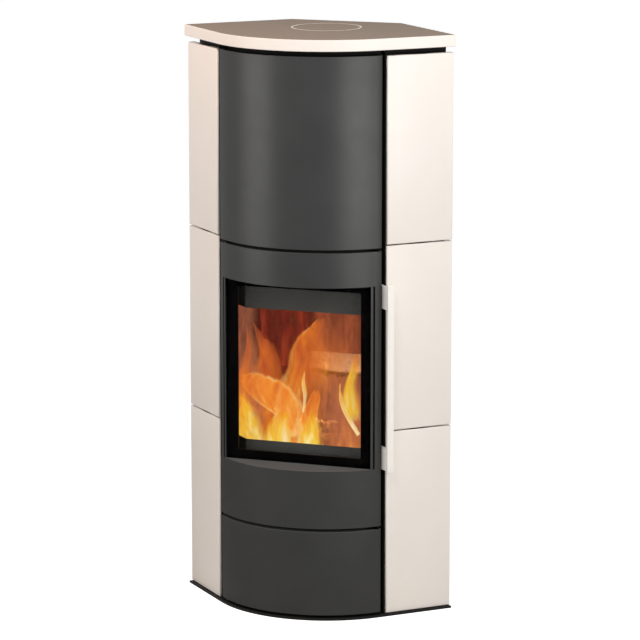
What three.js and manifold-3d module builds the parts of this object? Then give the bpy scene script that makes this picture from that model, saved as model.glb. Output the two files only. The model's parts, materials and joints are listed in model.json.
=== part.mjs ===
// A tall corner stove clad in ceramic tiles.
//
// The plan is a square set on its corner: two tiled side faces run back at 45 degrees from a round front
// corner, two rear faces stand along the walls of a room and a short chamfer closes the back. The round
// corner holds, from the floor up, a curved compartment door, the firebox door with its flat window, and
// a fixed curved panel in front of the heat store. A thick top plate with a flue cover closes the body.
//
// Millimetres, +Z up, front towards -Y. The origin is on the floor, under the middle of the top plate.

import * as THREE from "three";
import { mergeVertices } from "three/addons/utils/BufferGeometryUtils.js";
import Module from "manifold-3d";

const wasm = await Module();
wasm.setup();

// ---------------------------------------------------------------------------------------------------
// Driving dimensions
// ---------------------------------------------------------------------------------------------------

// Clearances.
const seat = 0.3; // between two pieces that touch
const pivotClearance = 0.1; // radial, between a pivot pin and its eye
const past = 1; // how far a cutting tool passes a face, and a fused solid enters its neighbour

// Plan. "Out" is measured square to a side face from the centre of the round corner, and "along" runs
// with the side face from the end of the round corner towards the wall.
const cornerRadius = 264.8; // face of the tiles and curved panels
const panelEdge = 15.9; // how far a curved panel runs along the side face
const sideGroove = 10.9; // open groove between a panel and the tiles
const tileLength = 166.3;
const plateBehindTiles = 1.2; // the top plate passes the tiles towards the wall
const rearChamfer = 138; // from the corner's centre back to the chamfer of the top plate
const topOverhang = 7.6; // the top plate beyond the tile faces
const baseOverhang = 5.8; // the base plate beyond the tile faces

// Heights, from the floor up.
const basePlateThickness = 5;
const footGap = 6; // under the compartment door
const lowerDoorHeight = 197;
const panelGap = 8; // between two curved panels
const fireDoorHeight = 640;
const upperPanelHeight = 437;
const shadowGap = 12.5; // under the top plate
const topPlateThickness = 26.5;

// Tiles.
const tileRows = 3;
const tileThickness = 20;
const tileJoint = 3;
const tileLift = 1.4; // first tile above the base plate
const tileDrop = 1.7; // last tile below the top of the upper panel
const tileBevel = 3;
const tileHookHeight = 20; // hook groove above a tile's lower edge
const tileHookDepth = 8;
const hookThickness = 3; // hook rails and the grooves they enter
const strapWidth = 28;
const strapInset = 14;
const railInset = 4;
const carrierSpace = 6.8; // between the tiles and the side panel

// Sheet metal body.
const bodySheet = 2;
const floorSheet = 5;
const floorSetback = 19.8; // front edges of the floors behind the panel faces
const foldGap = 1; // between the folds of the side panels and the ends of the tiles
const foldSetback = 4.5; // front edges of those folds behind the tile faces
const rearSetback = 6.3; // rear panels inside the top plate's rear edge
const slotWidth = 6;
const slotLength = 70;
const slotPitch = 26;
const slotRows = 7;
const slotFootMargin = 78; // lowest slot above the floor of the room
const slotHeadMargin = 52; // free height under the roof sheet
const slotColumnOffset = 49; // from the middle of a rear panel to each column of slots

// Curved panels and doors.
const panelSheet = 3;
const panelBend = 7;
const panelReturn = 20; // depth of the folded edge
const recessHeight = 425.5;
const recessRaise = 27.75; // middle of the window recess above the middle of the firebox door
const recessHalfWidth = 184.7;
const recessSheet = 3;

// Window.
const windowDepth = 73.8; // the flat glass behind the front of the round corner
const glassThickness = 4;
const glassTuck = 11; // glass hidden above and below the recess
const clearSide = 21; // door frame beside the clear window
const clearFoot = 21; // clear window above the lower edge of the recess
const clearHead = 18.5; // clear window below the upper edge of the recess
const retainerLip = 1.3; // over the edge of the glass
const retainerWall = 3.1;
const retainerGroove = 3.3; // open groove between a retainer and the door skin

// Firebox door frame and seal.
const doorFrameThickness = 5;
const doorFrameInset = 7.3; // inside the glass retainers
const sealThickness = 11;
const sealWidth = 10;
const sealSideInset = 2; // seal inside the sides of the door frame
const sealInset = 6; // seal inside the door's upper and lower edges
const sealMargin = 1; // front plate beyond the seal, outside

// Door pivots.
const pivotFromEdge = 9.9; // from the folded edge of a door to its pivots, along the side face
const pivotOut = 253;
const pivotRadius = 4;
const pivotEyeWall = 5;
const pivotBlockHeight = 42;

// Roller catches of the firebox door.
const catchSideInset = 21; // from the sides of the door frame
const catchInset = 46; // from the door's upper and lower edges
const rollerRadius = 4.5;
const rollerHeight = 18;
const rollerPinRadius = 2;
const earThickness = 2;

// Handle.
const handleHeight = 436;
const handleLift = 129; // lower end above the lower edge of the firebox door
const handleWidth = 16;
const handleDepth = 7;
const handleStandoff = 19.4; // from the panel face to the back of the bar
const bracketThickness = 5;
const bracketHeight = 54;
const bracketInset = 3.5; // brackets inside the ends of the bar
const handleRound = 2;

// Firebox.
const frontPlateThickness = 4;
const fireOpeningSeal = 1; // front plate inside the seal
const fireOpeningMargin = 10; // fire opening beyond the clear window, above and below
const shellSheet = 3;
const convectionGap = 4; // between the firebox shell and the side panel
const shellRise = 14; // above the lower edge of the firebox door
const ceilingRise = 22; // ceiling above the fire opening
const liningThickness = 20;
const fireboxRear = 116.7; // inner face of the rear linings, along the side face
const fireboxBack = 60; // inner face of the back lining
const liningFront = -115; // front ends of the side linings
const hearthDrop = 17; // top of the hearth stone below the fire opening
const hearthPlateThickness = 4;
const ashOpeningDrop = 3.7; // below the hearth plate
const hearthThickness = 25;
const baffleDrop = 60; // underside of the baffle below the ceiling
const baffleThickness = 20;
const baffleFront = -95;
const guardSideInset = 4; // inside the clear window
const guardFront = -149;
const guardSheet = 3;
const guardWing = 42;
const guardShow = 16; // log guard above the lower edge of the clear window
const deflectorShow = 58; // air deflector below the upper edge of the clear window
const airBarHalfWidth = 100;
const airBarRise = 155.5; // above the lower edge of the clear window
const airBarHeight = 41.5;
const airBarDepth = 24;
const airPorts = 9;
const airPortSize = 8;
const grateHalfWidth = 79;
const grateHalfDepth = 69;
const grateThickness = 12;
const grateCentre = -35;
const grateSlots = 7;
const grateSlotWidth = 8;
const grateRim = 12;

// Ash pan.
const ashPanHalfWidth = 92;
const ashPanSideGap = 6; // between the pan and the sides of its opening
const ashPanDepth = 200;
const ashPanHeadroom = 12.7; // under the top of the ash opening
const ashPanWall = 1.5;
const ashPanRim = 8;

// Flue and heat store.
const flueRadius = 75; // outside of the flue collar
const flueWall = 2;
const coverRadius = 79.8;
const coverThickness = 11.7;
const coverGap = 0.5;
const coverLedge = 9.8;
const edgeBevel = 1.5;
const storeBlocks = 2;
const storeBlockHeight = 150;
const storeOut = 180;
const storeAlong = 120;
const storeBack = 60;
const storeHoleRadius = 85;
const panelPadRadius = 8;
const panelPadX = 80;
const panelPadY = -226;

// Air supply in the compartment.
const ductRadius = 40;
const ductWall = 2;
const ductBack = 40;
const sliderLeft = -110;
const sliderRight = 62;
const sliderY = -162;
const sliderWidth = 20;
const sliderThickness = 3;
const sliderDrop = 6; // top of the slider below the compartment's ceiling
const guideX = 50;
const guideWidth = 10;
const guideWall = 2;
const knobX = -25;
const knobRadius = 7;
const knobLength = 16;
const pinLift = 1; // lowest pivot pin above the floor of the room
const magnetX = 135;
const magnetWidth = 30;
const magnetDepth = 16;
const magnetHeight = 18;
const linerSheet = 2;

// Facets of round shapes.
const cornerSteps = 32;
const bendSteps = 3;
const holeSteps = 48;
const pinSteps = 24;

// ---------------------------------------------------------------------------------------------------
// Levels and faces that follow from the driving dimensions
// ---------------------------------------------------------------------------------------------------

const lowerDoorBottom = basePlateThickness + footGap;
const lowerDoorTop = lowerDoorBottom + lowerDoorHeight;
const fireDoorBottom = lowerDoorTop + panelGap;
const fireDoorTop = fireDoorBottom + fireDoorHeight;
const upperPanelBottom = fireDoorTop + panelGap;
const upperPanelTop = upperPanelBottom + upperPanelHeight;
const topPlateBottom = upperPanelTop + shadowGap;
const stoveHeight = topPlateBottom + topPlateThickness;

const tileStart = panelEdge + sideGroove;
const tileEnd = tileStart + tileLength;
const wallLine = tileEnd + plateBehindTiles;
const tileBottom = basePlateThickness + tileLift;
const tileStack = upperPanelTop - tileDrop - tileBottom;
const tileHeight = (tileStack - tileJoint * (tileRows - 1)) / tileRows;
const tileBack = cornerRadius - tileThickness;

const sideOuter = tileBack - carrierSpace; // outer face of the side panels
const sideInner = sideOuter - bodySheet;
const foldEnd = tileStart - foldGap; // the folds of the side panels, along the side face
const foldStart = foldEnd - bodySheet;
const rearOuter = wallLine - rearSetback; // outer face of the rear panels, along the side face
const rearInner = rearOuter - bodySheet;
const backOuter = rearChamfer - rearSetback; // outer face of the back panel
const backInner = backOuter - bodySheet;
const lowerFloorBottom = lowerDoorTop + (panelGap - floorSheet) / 2;
const upperFloorBottom = fireDoorTop + (panelGap - floorSheet) / 2;
const roofSheetBottom = topPlateBottom - seat - panelSheet;

const retainerOuter = recessHalfWidth - retainerGroove;
const retainerWeb = retainerOuter - retainerWall;
const retainerInner = retainerWeb - retainerLip;
const glassHalfWidth = retainerWeb - seat;
const doorFrameHalfWidth = retainerWeb - doorFrameInset;
const clearHalfWidth = doorFrameHalfWidth - clearSide;
const catchX = doorFrameHalfWidth - catchSideInset;
const sealHalfWidth = doorFrameHalfWidth - sealSideInset;
const sealInner = sealHalfWidth - sealWidth;
const frontPlateHalfWidth = sealHalfWidth + sealMargin;
const fireOpeningHalfWidth = sealInner - fireOpeningSeal;
const ashOpeningHalfWidth = ashPanHalfWidth + ashPanSideGap;
const guardHalfWidth = clearHalfWidth - guardSideInset;

const recessMiddle = fireDoorBottom + fireDoorHeight / 2 + recessRaise;
const recessBottom = recessMiddle - recessHeight / 2;
const recessTop = recessMiddle + recessHeight / 2;
const clearBottom = recessBottom + clearFoot;
const clearTop = recessTop - clearHead;
const glassFront = -(cornerRadius - windowDepth);
const glassBack = glassFront + glassThickness;
const frameFront = glassBack + seat;
const frameBack = frameFront + doorFrameThickness;
const sealFront = frameBack + seat;
const sealBack = sealFront + sealThickness;
const frontPlateFront = sealBack + seat;
const frontPlateBack = frontPlateFront + frontPlateThickness;
const panelInner = cornerRadius - panelSheet;
const returnEnd = cornerRadius - panelReturn;

const shellOuter = sideInner - convectionGap;
const shellInner = shellOuter - shellSheet;
const liningInner = shellInner - seat - liningThickness;
const shellRear = fireboxRear + liningThickness + seat;
const shellBack = fireboxBack + liningThickness + seat;
const shellBottom = fireDoorBottom + shellRise;
const fireOpeningBottom = clearBottom - fireOpeningMargin;
const fireOpeningTop = clearTop + fireOpeningMargin;
const ceilingHeight = fireOpeningTop + ceilingRise;
const hearthTop = fireOpeningBottom - hearthDrop - hearthThickness - seat;
const hearthPlateBottom = hearthTop - hearthPlateThickness;
const ashOpeningTop = hearthPlateBottom - ashOpeningDrop;
const ashPanBottom = shellBottom + shellSheet + seat;
const ashPanTop = ashOpeningTop - ashPanHeadroom;
const baffleBottom = ceilingHeight - baffleDrop;
const guardTop = clearBottom + guardShow;
const deflectorBottom = clearTop - deflectorShow;
const airBarBottom = clearBottom + airBarRise;

const root2 = Math.SQRT2;
const quarter = Math.PI / 4;

// ---------------------------------------------------------------------------------------------------
// Materials
// ---------------------------------------------------------------------------------------------------

function material(color, roughness, metalness) {
  return new THREE.MeshStandardMaterial({ color, roughness, metalness });
}

const ivoryTile = material(0xf1e9df, 0.3, 0);
const graphite = material(0x404040, 0.55, 0.2);
const blackSteel = material(0x161615, 0.7, 0.3);
const castIron = material(0x2a2927, 0.75, 0.4);
const brightSteel = material(0x9a9b9c, 0.35, 0.9);
const fireboard = material(0x59524a, 0.95, 0);
const storeStone = material(0x8b8378, 0.95, 0);
const sealRope = material(0x252423, 1, 0);
const windowGlass = new THREE.MeshStandardMaterial({
  color: 0x1b1a19,
  roughness: 0.05,
  metalness: 0,
  transparent: true,
  opacity: 0.35,
});

// ---------------------------------------------------------------------------------------------------
// Solids
// ---------------------------------------------------------------------------------------------------

function toSolid(geometry) {
  const source = geometry.index ? geometry.toNonIndexed() : geometry;
  const bare = new THREE.BufferGeometry();
  bare.setAttribute("position", source.getAttribute("position"));
  const merged = mergeVertices(bare, 1e-4);
  return new wasm.Manifold(
    new wasm.Mesh({
      numProp: 3,
      vertProperties: merged.attributes.position.array,
      triVerts: new Uint32Array(merged.index.array),
    }),
  );
}

function toGeometry(solid) {
  const mesh = solid.getMesh();
  const indexed = new THREE.BufferGeometry();
  const positions = new THREE.BufferAttribute(new Float32Array(mesh.vertProperties), 3);
  indexed.setAttribute("position", positions);
  indexed.setIndex(new THREE.BufferAttribute(new Uint32Array(mesh.triVerts), 1));
  const geometry = indexed.toNonIndexed();
  geometry.computeVertexNormals();
  return geometry;
}

function cut(body, ...tools) {
  let solid = toSolid(body);
  for (const tool of tools) {
    solid = solid.subtract(toSolid(tool));
  }
  return toGeometry(solid);
}

function join(first, ...others) {
  let solid = toSolid(first);
  for (const other of others) {
    solid = solid.add(toSolid(other));
  }
  return toGeometry(solid);
}

function box(x0, x1, y0, y1, z0, z1) {
  const geometry = new THREE.BoxGeometry(x1 - x0, y1 - y0, z1 - z0);
  return geometry.translate((x0 + x1) / 2, (y0 + y1) / 2, (z0 + z1) / 2);
}

// An upright prism over a plan outline.
function prism(outline, z0, z1, bevel = 0) {
  const geometry = new THREE.ExtrudeGeometry(new THREE.Shape(outline), {
    depth: z1 - z0 - 2 * bevel,
    bevelEnabled: bevel > 0,
    bevelThickness: bevel,
    bevelSize: bevel,
    bevelOffset: -bevel,
    bevelSegments: 2,
  });
  return geometry.translate(0, 0, z0 + bevel);
}

// An upright cylinder.
function post(x, y, radius, z0, z1, steps = holeSteps) {
  const geometry = new THREE.CylinderGeometry(radius, radius, z1 - z0, steps);
  return geometry.rotateX(Math.PI / 2).translate(x, y, (z0 + z1) / 2);
}

// ---------------------------------------------------------------------------------------------------
// Plan outlines
// ---------------------------------------------------------------------------------------------------

// A point on the right side, from its distances along and out.
function planPoint(along, out) {
  return new THREE.Vector2((along + out) / root2, (along - out) / root2);
}

function arc(centre, radius, start, end, steps) {
  const points = [];
  for (let i = 0; i <= steps; i += 1) {
    const angle = start + ((end - start) * i) / steps;
    points.push(
      new THREE.Vector2(centre.x + radius * Math.cos(angle), centre.y + radius * Math.sin(angle)),
    );
  }
  return points;
}

// A right half that ends on the centre line, followed by its mirror image.
function mirrored(rightHalf) {
  const leftHalf = rightHalf.slice(0, -1).reverse();
  return [...rightHalf, ...leftHalf.map((point) => new THREE.Vector2(-point.x, point.y))];
}

// The right half of the round corner, ending at the front.
function halfCorner(radius) {
  return arc(new THREE.Vector2(0, 0), radius, -quarter, -2 * quarter, cornerSteps / 2);
}

// The whole plan: round corner, side faces, rear faces and chamfer.
function bodyOutline(out, along, back) {
  const chamferEnd = new THREE.Vector2(along * root2 - back, back);
  return mirrored([chamferEnd, planPoint(along, out), ...halfCorner(out)]);
}

// A curved sheet that follows the corner and ends square on each side face.
function bandOutline(outer, inner, edge) {
  const outside = mirrored([planPoint(edge, outer), ...halfCorner(outer)]);
  const inside = mirrored([planPoint(edge, inner), ...halfCorner(inner)]);
  return [...outside, ...inside.reverse()];
}

// The same sheet with each end bent inwards.
const innerEdge = panelEdge - panelSheet;
const innerBend = Math.max(panelBend - panelSheet, 2 * seat);
const innerBendCentre = planPoint(innerEdge - innerBend, panelInner - innerBend);
const outerBendCentre = planPoint(panelEdge - panelBend, cornerRadius - panelBend);

function foldedOutline() {
  const outside = [
    planPoint(panelEdge, returnEnd),
    ...arc(outerBendCentre, panelBend, quarter, -quarter, bendSteps),
    ...halfCorner(cornerRadius),
  ];
  const inside = [
    planPoint(innerEdge, returnEnd),
    ...arc(innerBendCentre, innerBend, quarter, -quarter, bendSteps),
    ...halfCorner(panelInner),
  ];
  return [...mirrored(outside), ...mirrored(inside).reverse()];
}

// The piece of a disc in front of a straight chord.
function segmentOutline(radius, chordY) {
  const start = Math.asin(chordY / radius);
  return arc(new THREE.Vector2(0, 0), radius, start, -Math.PI - start, cornerSteps);
}

// A flat sheet across the firebox with both ends bent back at 45 degrees.
function wingedOutline(halfWidth, front, sheet, wing) {
  const corner = new THREE.Vector2(halfWidth, front);
  const tip = new THREE.Vector2(halfWidth + wing / root2, front + wing / root2);
  const innerTip = new THREE.Vector2(tip.x - sheet / root2, tip.y + sheet / root2);
  const innerCorner = new THREE.Vector2(halfWidth - sheet * Math.tan(quarter / 2), front + sheet);
  const centreFront = new THREE.Vector2(0, front);
  const centreBack = new THREE.Vector2(0, front + sheet);
  const outside = mirrored([tip, corner, centreFront]);
  const inside = mirrored([innerTip, innerCorner, centreBack]);
  return [...outside, ...inside.reverse()];
}

// ---------------------------------------------------------------------------------------------------
// Frame: everything is drawn from the corner's centre, which lies behind the origin. The two side frames
// have X along their side face (positive on the right, negative on the left) and -Y out of it.
// ---------------------------------------------------------------------------------------------------

const topFront = -(cornerRadius + topOverhang);
const stove = new THREE.Group();
const plan = new THREE.Group();
plan.position.y = -(topFront + rearChamfer) / 2;
stove.add(plan);

const sides = [
  { name: "right", sign: 1 },
  { name: "left", sign: -1 },
];
for (const side of sides) {
  side.frame = new THREE.Group();
  side.frame.rotation.z = side.sign * quarter;
  plan.add(side.frame);
}

function add(name, geometry, look, parent = plan) {
  const mesh = new THREE.Mesh(geometry, look);
  mesh.name = name;
  parent.add(mesh);
}

// A box in a side frame, from distances along and out.
function sideBox(sign, along0, along1, out0, out1, z0, z1) {
  const [x0, x1] = sign > 0 ? [along0, along1] : [-along1, -along0];
  return box(x0, x1, -out1, -out0, z0, z1);
}

// Everything in front of a line across the plan.
function inFrontOf(y, z0, z1) {
  const reach = 2 * cornerRadius;
  return box(-reach, reach, -reach, y, z0 - past, z1 + past);
}

// ---------------------------------------------------------------------------------------------------
// Body
// ---------------------------------------------------------------------------------------------------

const pivotCentre = planPoint(panelEdge - pivotFromEdge, pivotOut);
const pivotHole = (z0, z1) =>
  post(-pivotCentre.x, pivotCentre.y, pivotRadius + pivotClearance, z0 - past, z1 + past, pinSteps);

function basePlate() {
  const plate = prism(bodyOutline(cornerRadius + baseOverhang, wallLine, rearChamfer), 0, basePlateThickness);
  return cut(
    plate,
    pivotHole(0, basePlateThickness),
    post(0, ductBack, ductRadius - ductWall, -past, basePlateThickness + past),
  );
}

// Folded side panel: the face behind the tiles and a fold along their ends, seen black in the groove.
function sidePanel(sign) {
  const z0 = basePlateThickness + seat;
  const z1 = roofSheetBottom - seat;
  const face = sideBox(sign, foldStart, rearInner - seat, sideInner, sideOuter, z0, z1);
  const fold = sideBox(sign, foldStart, foldEnd, sideInner, cornerRadius - foldSetback, z0, z1);
  return join(face, fold);
}

// Convection slots in rows near the foot and the head of a rear panel, drawn in a side frame.
function slotTools(sign, centreOut) {
  const tools = [];
  const firstHigh = roofSheetBottom - slotHeadMargin - slotRows * slotPitch;
  for (const first of [slotFootMargin, firstHigh]) {
    for (let row = 0; row < slotRows; row += 1) {
      const z = first + row * slotPitch;
      const out0 = centreOut - slotLength / 2;
      const out1 = centreOut + slotLength / 2;
      tools.push(sideBox(sign, rearInner - past, rearOuter + past, out0, out1, z, z + slotWidth));
    }
  }
  return tools;
}

function rearPanel(sign) {
  const chamferOut = rearOuter - backOuter * root2;
  const near = chamferOut + 2 * bodySheet;
  const far = sideOuter - bodySheet - seat;
  const z0 = basePlateThickness + seat;
  const sheet = sideBox(sign, rearInner, rearOuter, near, far, z0, roofSheetBottom - seat);
  const middle = (near + far) / 2;
  return cut(
    sheet,
    ...slotTools(sign, middle - slotColumnOffset),
    ...slotTools(sign, middle + slotColumnOffset),
  );
}

function backPanel() {
  const halfWidth = rearInner * root2 - backOuter - seat;
  const z0 = basePlateThickness + seat;
  return box(-halfWidth, halfWidth, backInner, backOuter, z0, roofSheetBottom - seat);
}

// A floor between two compartments. It reaches forward into the gap between two curved panels and ends
// in an ear that holds the door pivots on the left.
function floorPlate(z0, ...extraCuts) {
  const z1 = z0 + floorSheet;
  const nose = prism(bodyOutline(cornerRadius - floorSetback, foldStart - seat, 0), z0, z1);
  const bay = prism(bodyOutline(sideInner - seat, rearInner - seat, backInner - seat), z0, z1);
  const ear = post(
    -pivotCentre.x,
    pivotCentre.y,
    pivotRadius + pivotEyeWall,
    z0,
    z1,
    pinSteps,
  );
  return cut(join(nose, bay, ear), pivotHole(z0, z1), ...extraCuts);
}

function lowerFloor() {
  const z0 = lowerFloorBottom;
  const duct = post(0, ductBack, ductRadius - ductWall, z0 - past, z0 + floorSheet + past);
  const floor = floorPlate(z0, duct);
  const sliderBottom = z0 - sliderDrop - sliderThickness;
  const innerHalf = sliderWidth / 2 + seat;
  const outerHalf = innerHalf + guideWall;
  const guides = [-guideX, guideX].map((x) =>
    cut(
      box(
        x - guideWidth / 2,
        x + guideWidth / 2,
        sliderY - outerHalf,
        sliderY + outerHalf,
        sliderBottom - seat - guideWall,
        z0 + past,
      ),
      box(
        x - guideWidth,
        x + guideWidth,
        sliderY - innerHalf,
        sliderY + innerHalf,
        sliderBottom - seat,
        z0 - sliderDrop + seat,
      ),
    ),
  );
  return join(floor, ...guides);
}

function upperFloor() {
  const z0 = upperFloorBottom;
  const z1 = z0 + floorSheet;
  const flue = post(0, 0, flueRadius + seat, z0 - past, z1 + past);
  const pads = [-panelPadX, panelPadX].map((x) =>
    post(x, panelPadY, panelPadRadius, z1 - past, upperPanelBottom - seat, pinSteps),
  );
  return join(floorPlate(z0, flue), ...pads);
}

// The roof sheet under the top plate, with a curved apron that darkens the shadow gap.
function roofSheet() {
  const z1 = topPlateBottom - seat;
  const sheet = prism(bodyOutline(sideOuter, rearOuter, backOuter), roofSheetBottom, z1);
  const apronTop = roofSheetBottom + past;
  const apronBottom = roofSheetBottom - 2 * shadowGap;
  const apron = prism(bandOutline(sideOuter, sideInner, foldStart - seat), apronBottom, apronTop);
  return cut(join(sheet, apron), post(0, 0, flueRadius + seat, roofSheetBottom - past, z1 + past));
}

add("base_plate", basePlate(), blackSteel);
for (const { name, sign, frame } of sides) {
  add(`side_panel_${name}`, sidePanel(sign), blackSteel, frame);
  add(`rear_panel_${name}`, rearPanel(sign), blackSteel, frame);
}
add("rear_panel_back", backPanel(), blackSteel);
add("lower_floor", lowerFloor(), blackSteel);
add("upper_floor", upperFloor(), blackSteel);
add("roof_sheet", roofSheet(), blackSteel);

// ---------------------------------------------------------------------------------------------------
// Tiles and their carriers
// ---------------------------------------------------------------------------------------------------

const tileLevel = (row) => tileBottom + row * (tileHeight + tileJoint);

// One tile: bevelled edges and a hook groove across its back.
function tile(sign, row) {
  const z0 = tileLevel(row);
  const near = Math.min(sign * tileStart, sign * tileEnd);
  const face = new THREE.Shape();
  face.moveTo(near, z0);
  face.lineTo(near + tileLength, z0);
  face.lineTo(near + tileLength, z0 + tileHeight);
  face.lineTo(near, z0 + tileHeight);
  face.closePath();
  const slab = new THREE.ExtrudeGeometry(face, {
    depth: tileThickness - 2 * tileBevel,
    bevelThickness: tileBevel,
    bevelSize: tileBevel,
    bevelOffset: -tileBevel,
    bevelSegments: 3,
  });
  slab.translate(0, 0, tileBack + tileBevel).rotateX(Math.PI / 2);
  const grooveBottom = z0 + tileHookHeight - tileBevel;
  const grooveTop = z0 + tileHookHeight + hookThickness + seat;
  const groove = sideBox(
    sign,
    tileStart - past,
    tileEnd + past,
    tileBack - past,
    tileBack + tileHookDepth,
    grooveBottom,
    grooveTop,
  );
  return cut(slab, groove);
}

// Two upright straps with one hook rail for each row of tiles.
function tileCarrier(sign) {
  const inner = sideOuter + seat;
  const outer = tileBack - seat;
  const z0 = basePlateThickness + seat;
  const z1 = tileLevel(tileRows - 1) + tileHeight / 2;
  const strapStarts = [tileStart + strapInset, tileEnd - strapInset - strapWidth];
  const straps = strapStarts.map((start) =>
    sideBox(sign, start, start + strapWidth, inner, outer, z0, z1),
  );
  const rails = [];
  for (let row = 0; row < tileRows; row += 1) {
    const z = tileLevel(row) + tileHookHeight;
    const reach = tileBack + tileHookDepth - tileBevel;
    rails.push(sideBox(sign, tileStart + railInset, tileEnd - railInset, inner, reach, z, z + hookThickness));
  }
  return join(...straps.slice(0, 1), ...rails, ...straps.slice(1));
}

for (const { name, sign, frame } of sides) {
  add(`tile_carrier_${name}`, tileCarrier(sign), blackSteel, frame);
  for (let row = 0; row < tileRows; row += 1) {
    add(`tile_${name}_${row + 1}`, tile(sign, row), ivoryTile, frame);
  }
}

// ---------------------------------------------------------------------------------------------------
// Top plate, flue and heat store
// ---------------------------------------------------------------------------------------------------

const coverBottom = stoveHeight - coverThickness;

function topPlate() {
  const outline = bodyOutline(cornerRadius + topOverhang, wallLine, rearChamfer);
  const plate = prism(outline, topPlateBottom, stoveHeight, edgeBevel);
  const pocketFloor = coverBottom - seat;
  const rim = coverRadius + coverGap;
  const profile = [
    new THREE.Vector2(0, pocketFloor),
    new THREE.Vector2(rim, pocketFloor),
    new THREE.Vector2(rim, stoveHeight - edgeBevel),
    new THREE.Vector2(rim + 2 * edgeBevel, stoveHeight + edgeBevel),
    new THREE.Vector2(0, stoveHeight + edgeBevel),
  ];
  const pocket = new THREE.LatheGeometry(profile, holeSteps).rotateX(Math.PI / 2);
  const passage = post(0, 0, coverRadius - coverLedge, topPlateBottom - past, coverBottom + past);
  return cut(plate, pocket, passage);
}

// The loose cover: a bevelled disc, flush with the top plate.
function flueCover() {
  const profile = [
    new THREE.Vector2(0, coverBottom),
    new THREE.Vector2(coverRadius, coverBottom),
    new THREE.Vector2(coverRadius, stoveHeight - edgeBevel),
    new THREE.Vector2(coverRadius - edgeBevel, stoveHeight),
    new THREE.Vector2(0, stoveHeight),
  ];
  return toGeometry(toSolid(new THREE.LatheGeometry(profile, holeSteps).rotateX(Math.PI / 2)));
}

const ceilingTop = ceilingHeight + shellSheet;

function flueCollar() {
  const z0 = ceilingTop + seat;
  const z1 = topPlateBottom - seat;
  return cut(post(0, 0, flueRadius, z0, z1), post(0, 0, flueRadius - flueWall, z0 - past, z1 + past));
}

function storeBlock(index) {
  const z0 = upperFloorBottom + floorSheet + seat + index * (storeBlockHeight + seat);
  const z1 = z0 + storeBlockHeight;
  const block = prism(bodyOutline(storeOut, storeAlong, storeBack), z0, z1);
  return cut(block, post(0, 0, storeHoleRadius, z0 - past, z1 + past));
}

// The fixed curved panel in front of the heat store: folded ends, a foot flange and a stiffener.
function upperPanel() {
  const shell = prism(foldedOutline(), upperPanelBottom, upperPanelTop);
  const fused = cornerRadius - panelSheet / 2;
  const foot = prism(
    segmentOutline(fused, frameBack),
    upperPanelBottom,
    upperPanelBottom + panelSheet,
  );
  const stiffenerTop = upperPanelTop - 2 * shadowGap - panelSheet;
  const stiffener = prism(
    segmentOutline(fused, -(sideOuter + panelSheet)),
    stiffenerTop - panelSheet,
    stiffenerTop,
  );
  return join(shell, foot, stiffener);
}

add("top_plate", topPlate(), ivoryTile);
add("flue_cover", flueCover(), ivoryTile);
add("flue_collar", flueCollar(), brightSteel);
for (let index = 0; index < storeBlocks; index += 1) {
  add(`store_block_${index + 1}`, storeBlock(index), storeStone);
}
add("upper_panel", upperPanel(), graphite);

// ---------------------------------------------------------------------------------------------------
// Firebox
// ---------------------------------------------------------------------------------------------------

// Welded shell: side, rear and back walls with the floor of the ash chamber.
function fireboxShell() {
  const z0 = shellBottom;
  const z1 = ceilingHeight - seat;
  const outer = prism(
    bodyOutline(shellOuter, shellRear + shellSheet, shellBack + shellSheet),
    z0,
    z1,
  );
  const inner = prism(bodyOutline(shellInner, shellRear, shellBack), z0 + shellSheet, z1 + past);
  return cut(outer, inner, inFrontOf(frontPlateBack + seat, z0, z1));
}

const keeperWidth = 3;
const catchLevels = [
  { name: "upper", z: fireDoorTop - catchInset },
  { name: "lower", z: fireDoorBottom + catchInset },
];

// Front plate: the sealing face with the fire and ash openings and the two keepers of the roller catches.
function fireboxFront() {
  const z0 = fireDoorBottom + sealInset - sealMargin;
  const z1 = fireDoorTop - sealInset + sealMargin;
  const plate = box(
    -frontPlateHalfWidth,
    frontPlateHalfWidth,
    frontPlateFront,
    frontPlateBack,
    z0,
    z1,
  );
  const deep = [frontPlateFront - past, frontPlateBack + past];
  const fire = box(
    -fireOpeningHalfWidth,
    fireOpeningHalfWidth,
    ...deep,
    fireOpeningBottom,
    fireOpeningTop,
  );
  const ash = box(
    -ashOpeningHalfWidth,
    ashOpeningHalfWidth,
    ...deep,
    shellBottom + shellSheet,
    ashOpeningTop,
  );
  const keeperX = catchX + rollerRadius + seat;
  const keepers = catchLevels.map(({ z }) =>
    box(
      keeperX,
      keeperX + keeperWidth,
      frameBack + past,
      frontPlateFront + past,
      z - rollerHeight / 2,
      z + rollerHeight / 2,
    ),
  );
  return join(cut(plate, fire, ash), ...keepers);
}

function fireboxCeiling() {
  const sheet = prism(
    bodyOutline(shellOuter, shellRear + shellSheet, shellBack + shellSheet),
    ceilingHeight,
    ceilingTop,
  );
  const flue = post(0, 0, flueRadius - flueWall, ceilingHeight - past, ceilingTop + past);
  return cut(sheet, flue, inFrontOf(frontPlateBack + seat, ceilingHeight, ceilingTop));
}

// The steel floor that carries hearth stone, grate and guard.
function hearthPlate() {
  const z0 = hearthPlateBottom;
  const z1 = hearthTop;
  const sheet = prism(
    bodyOutline(shellInner - seat, shellRear - seat, shellBack - seat),
    z0,
    z1,
  );
  const slot = box(
    -(grateHalfWidth - grateRim),
    grateHalfWidth - grateRim,
    grateCentre - grateHalfDepth + grateRim,
    grateCentre + grateHalfDepth - grateRim,
    z0 - past,
    z1 + past,
  );
  return cut(sheet, slot, inFrontOf(frontPlateBack + seat, z0, z1));
}

const liningBottom = hearthTop + seat;
const liningTop = ceilingHeight - seat;

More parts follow.
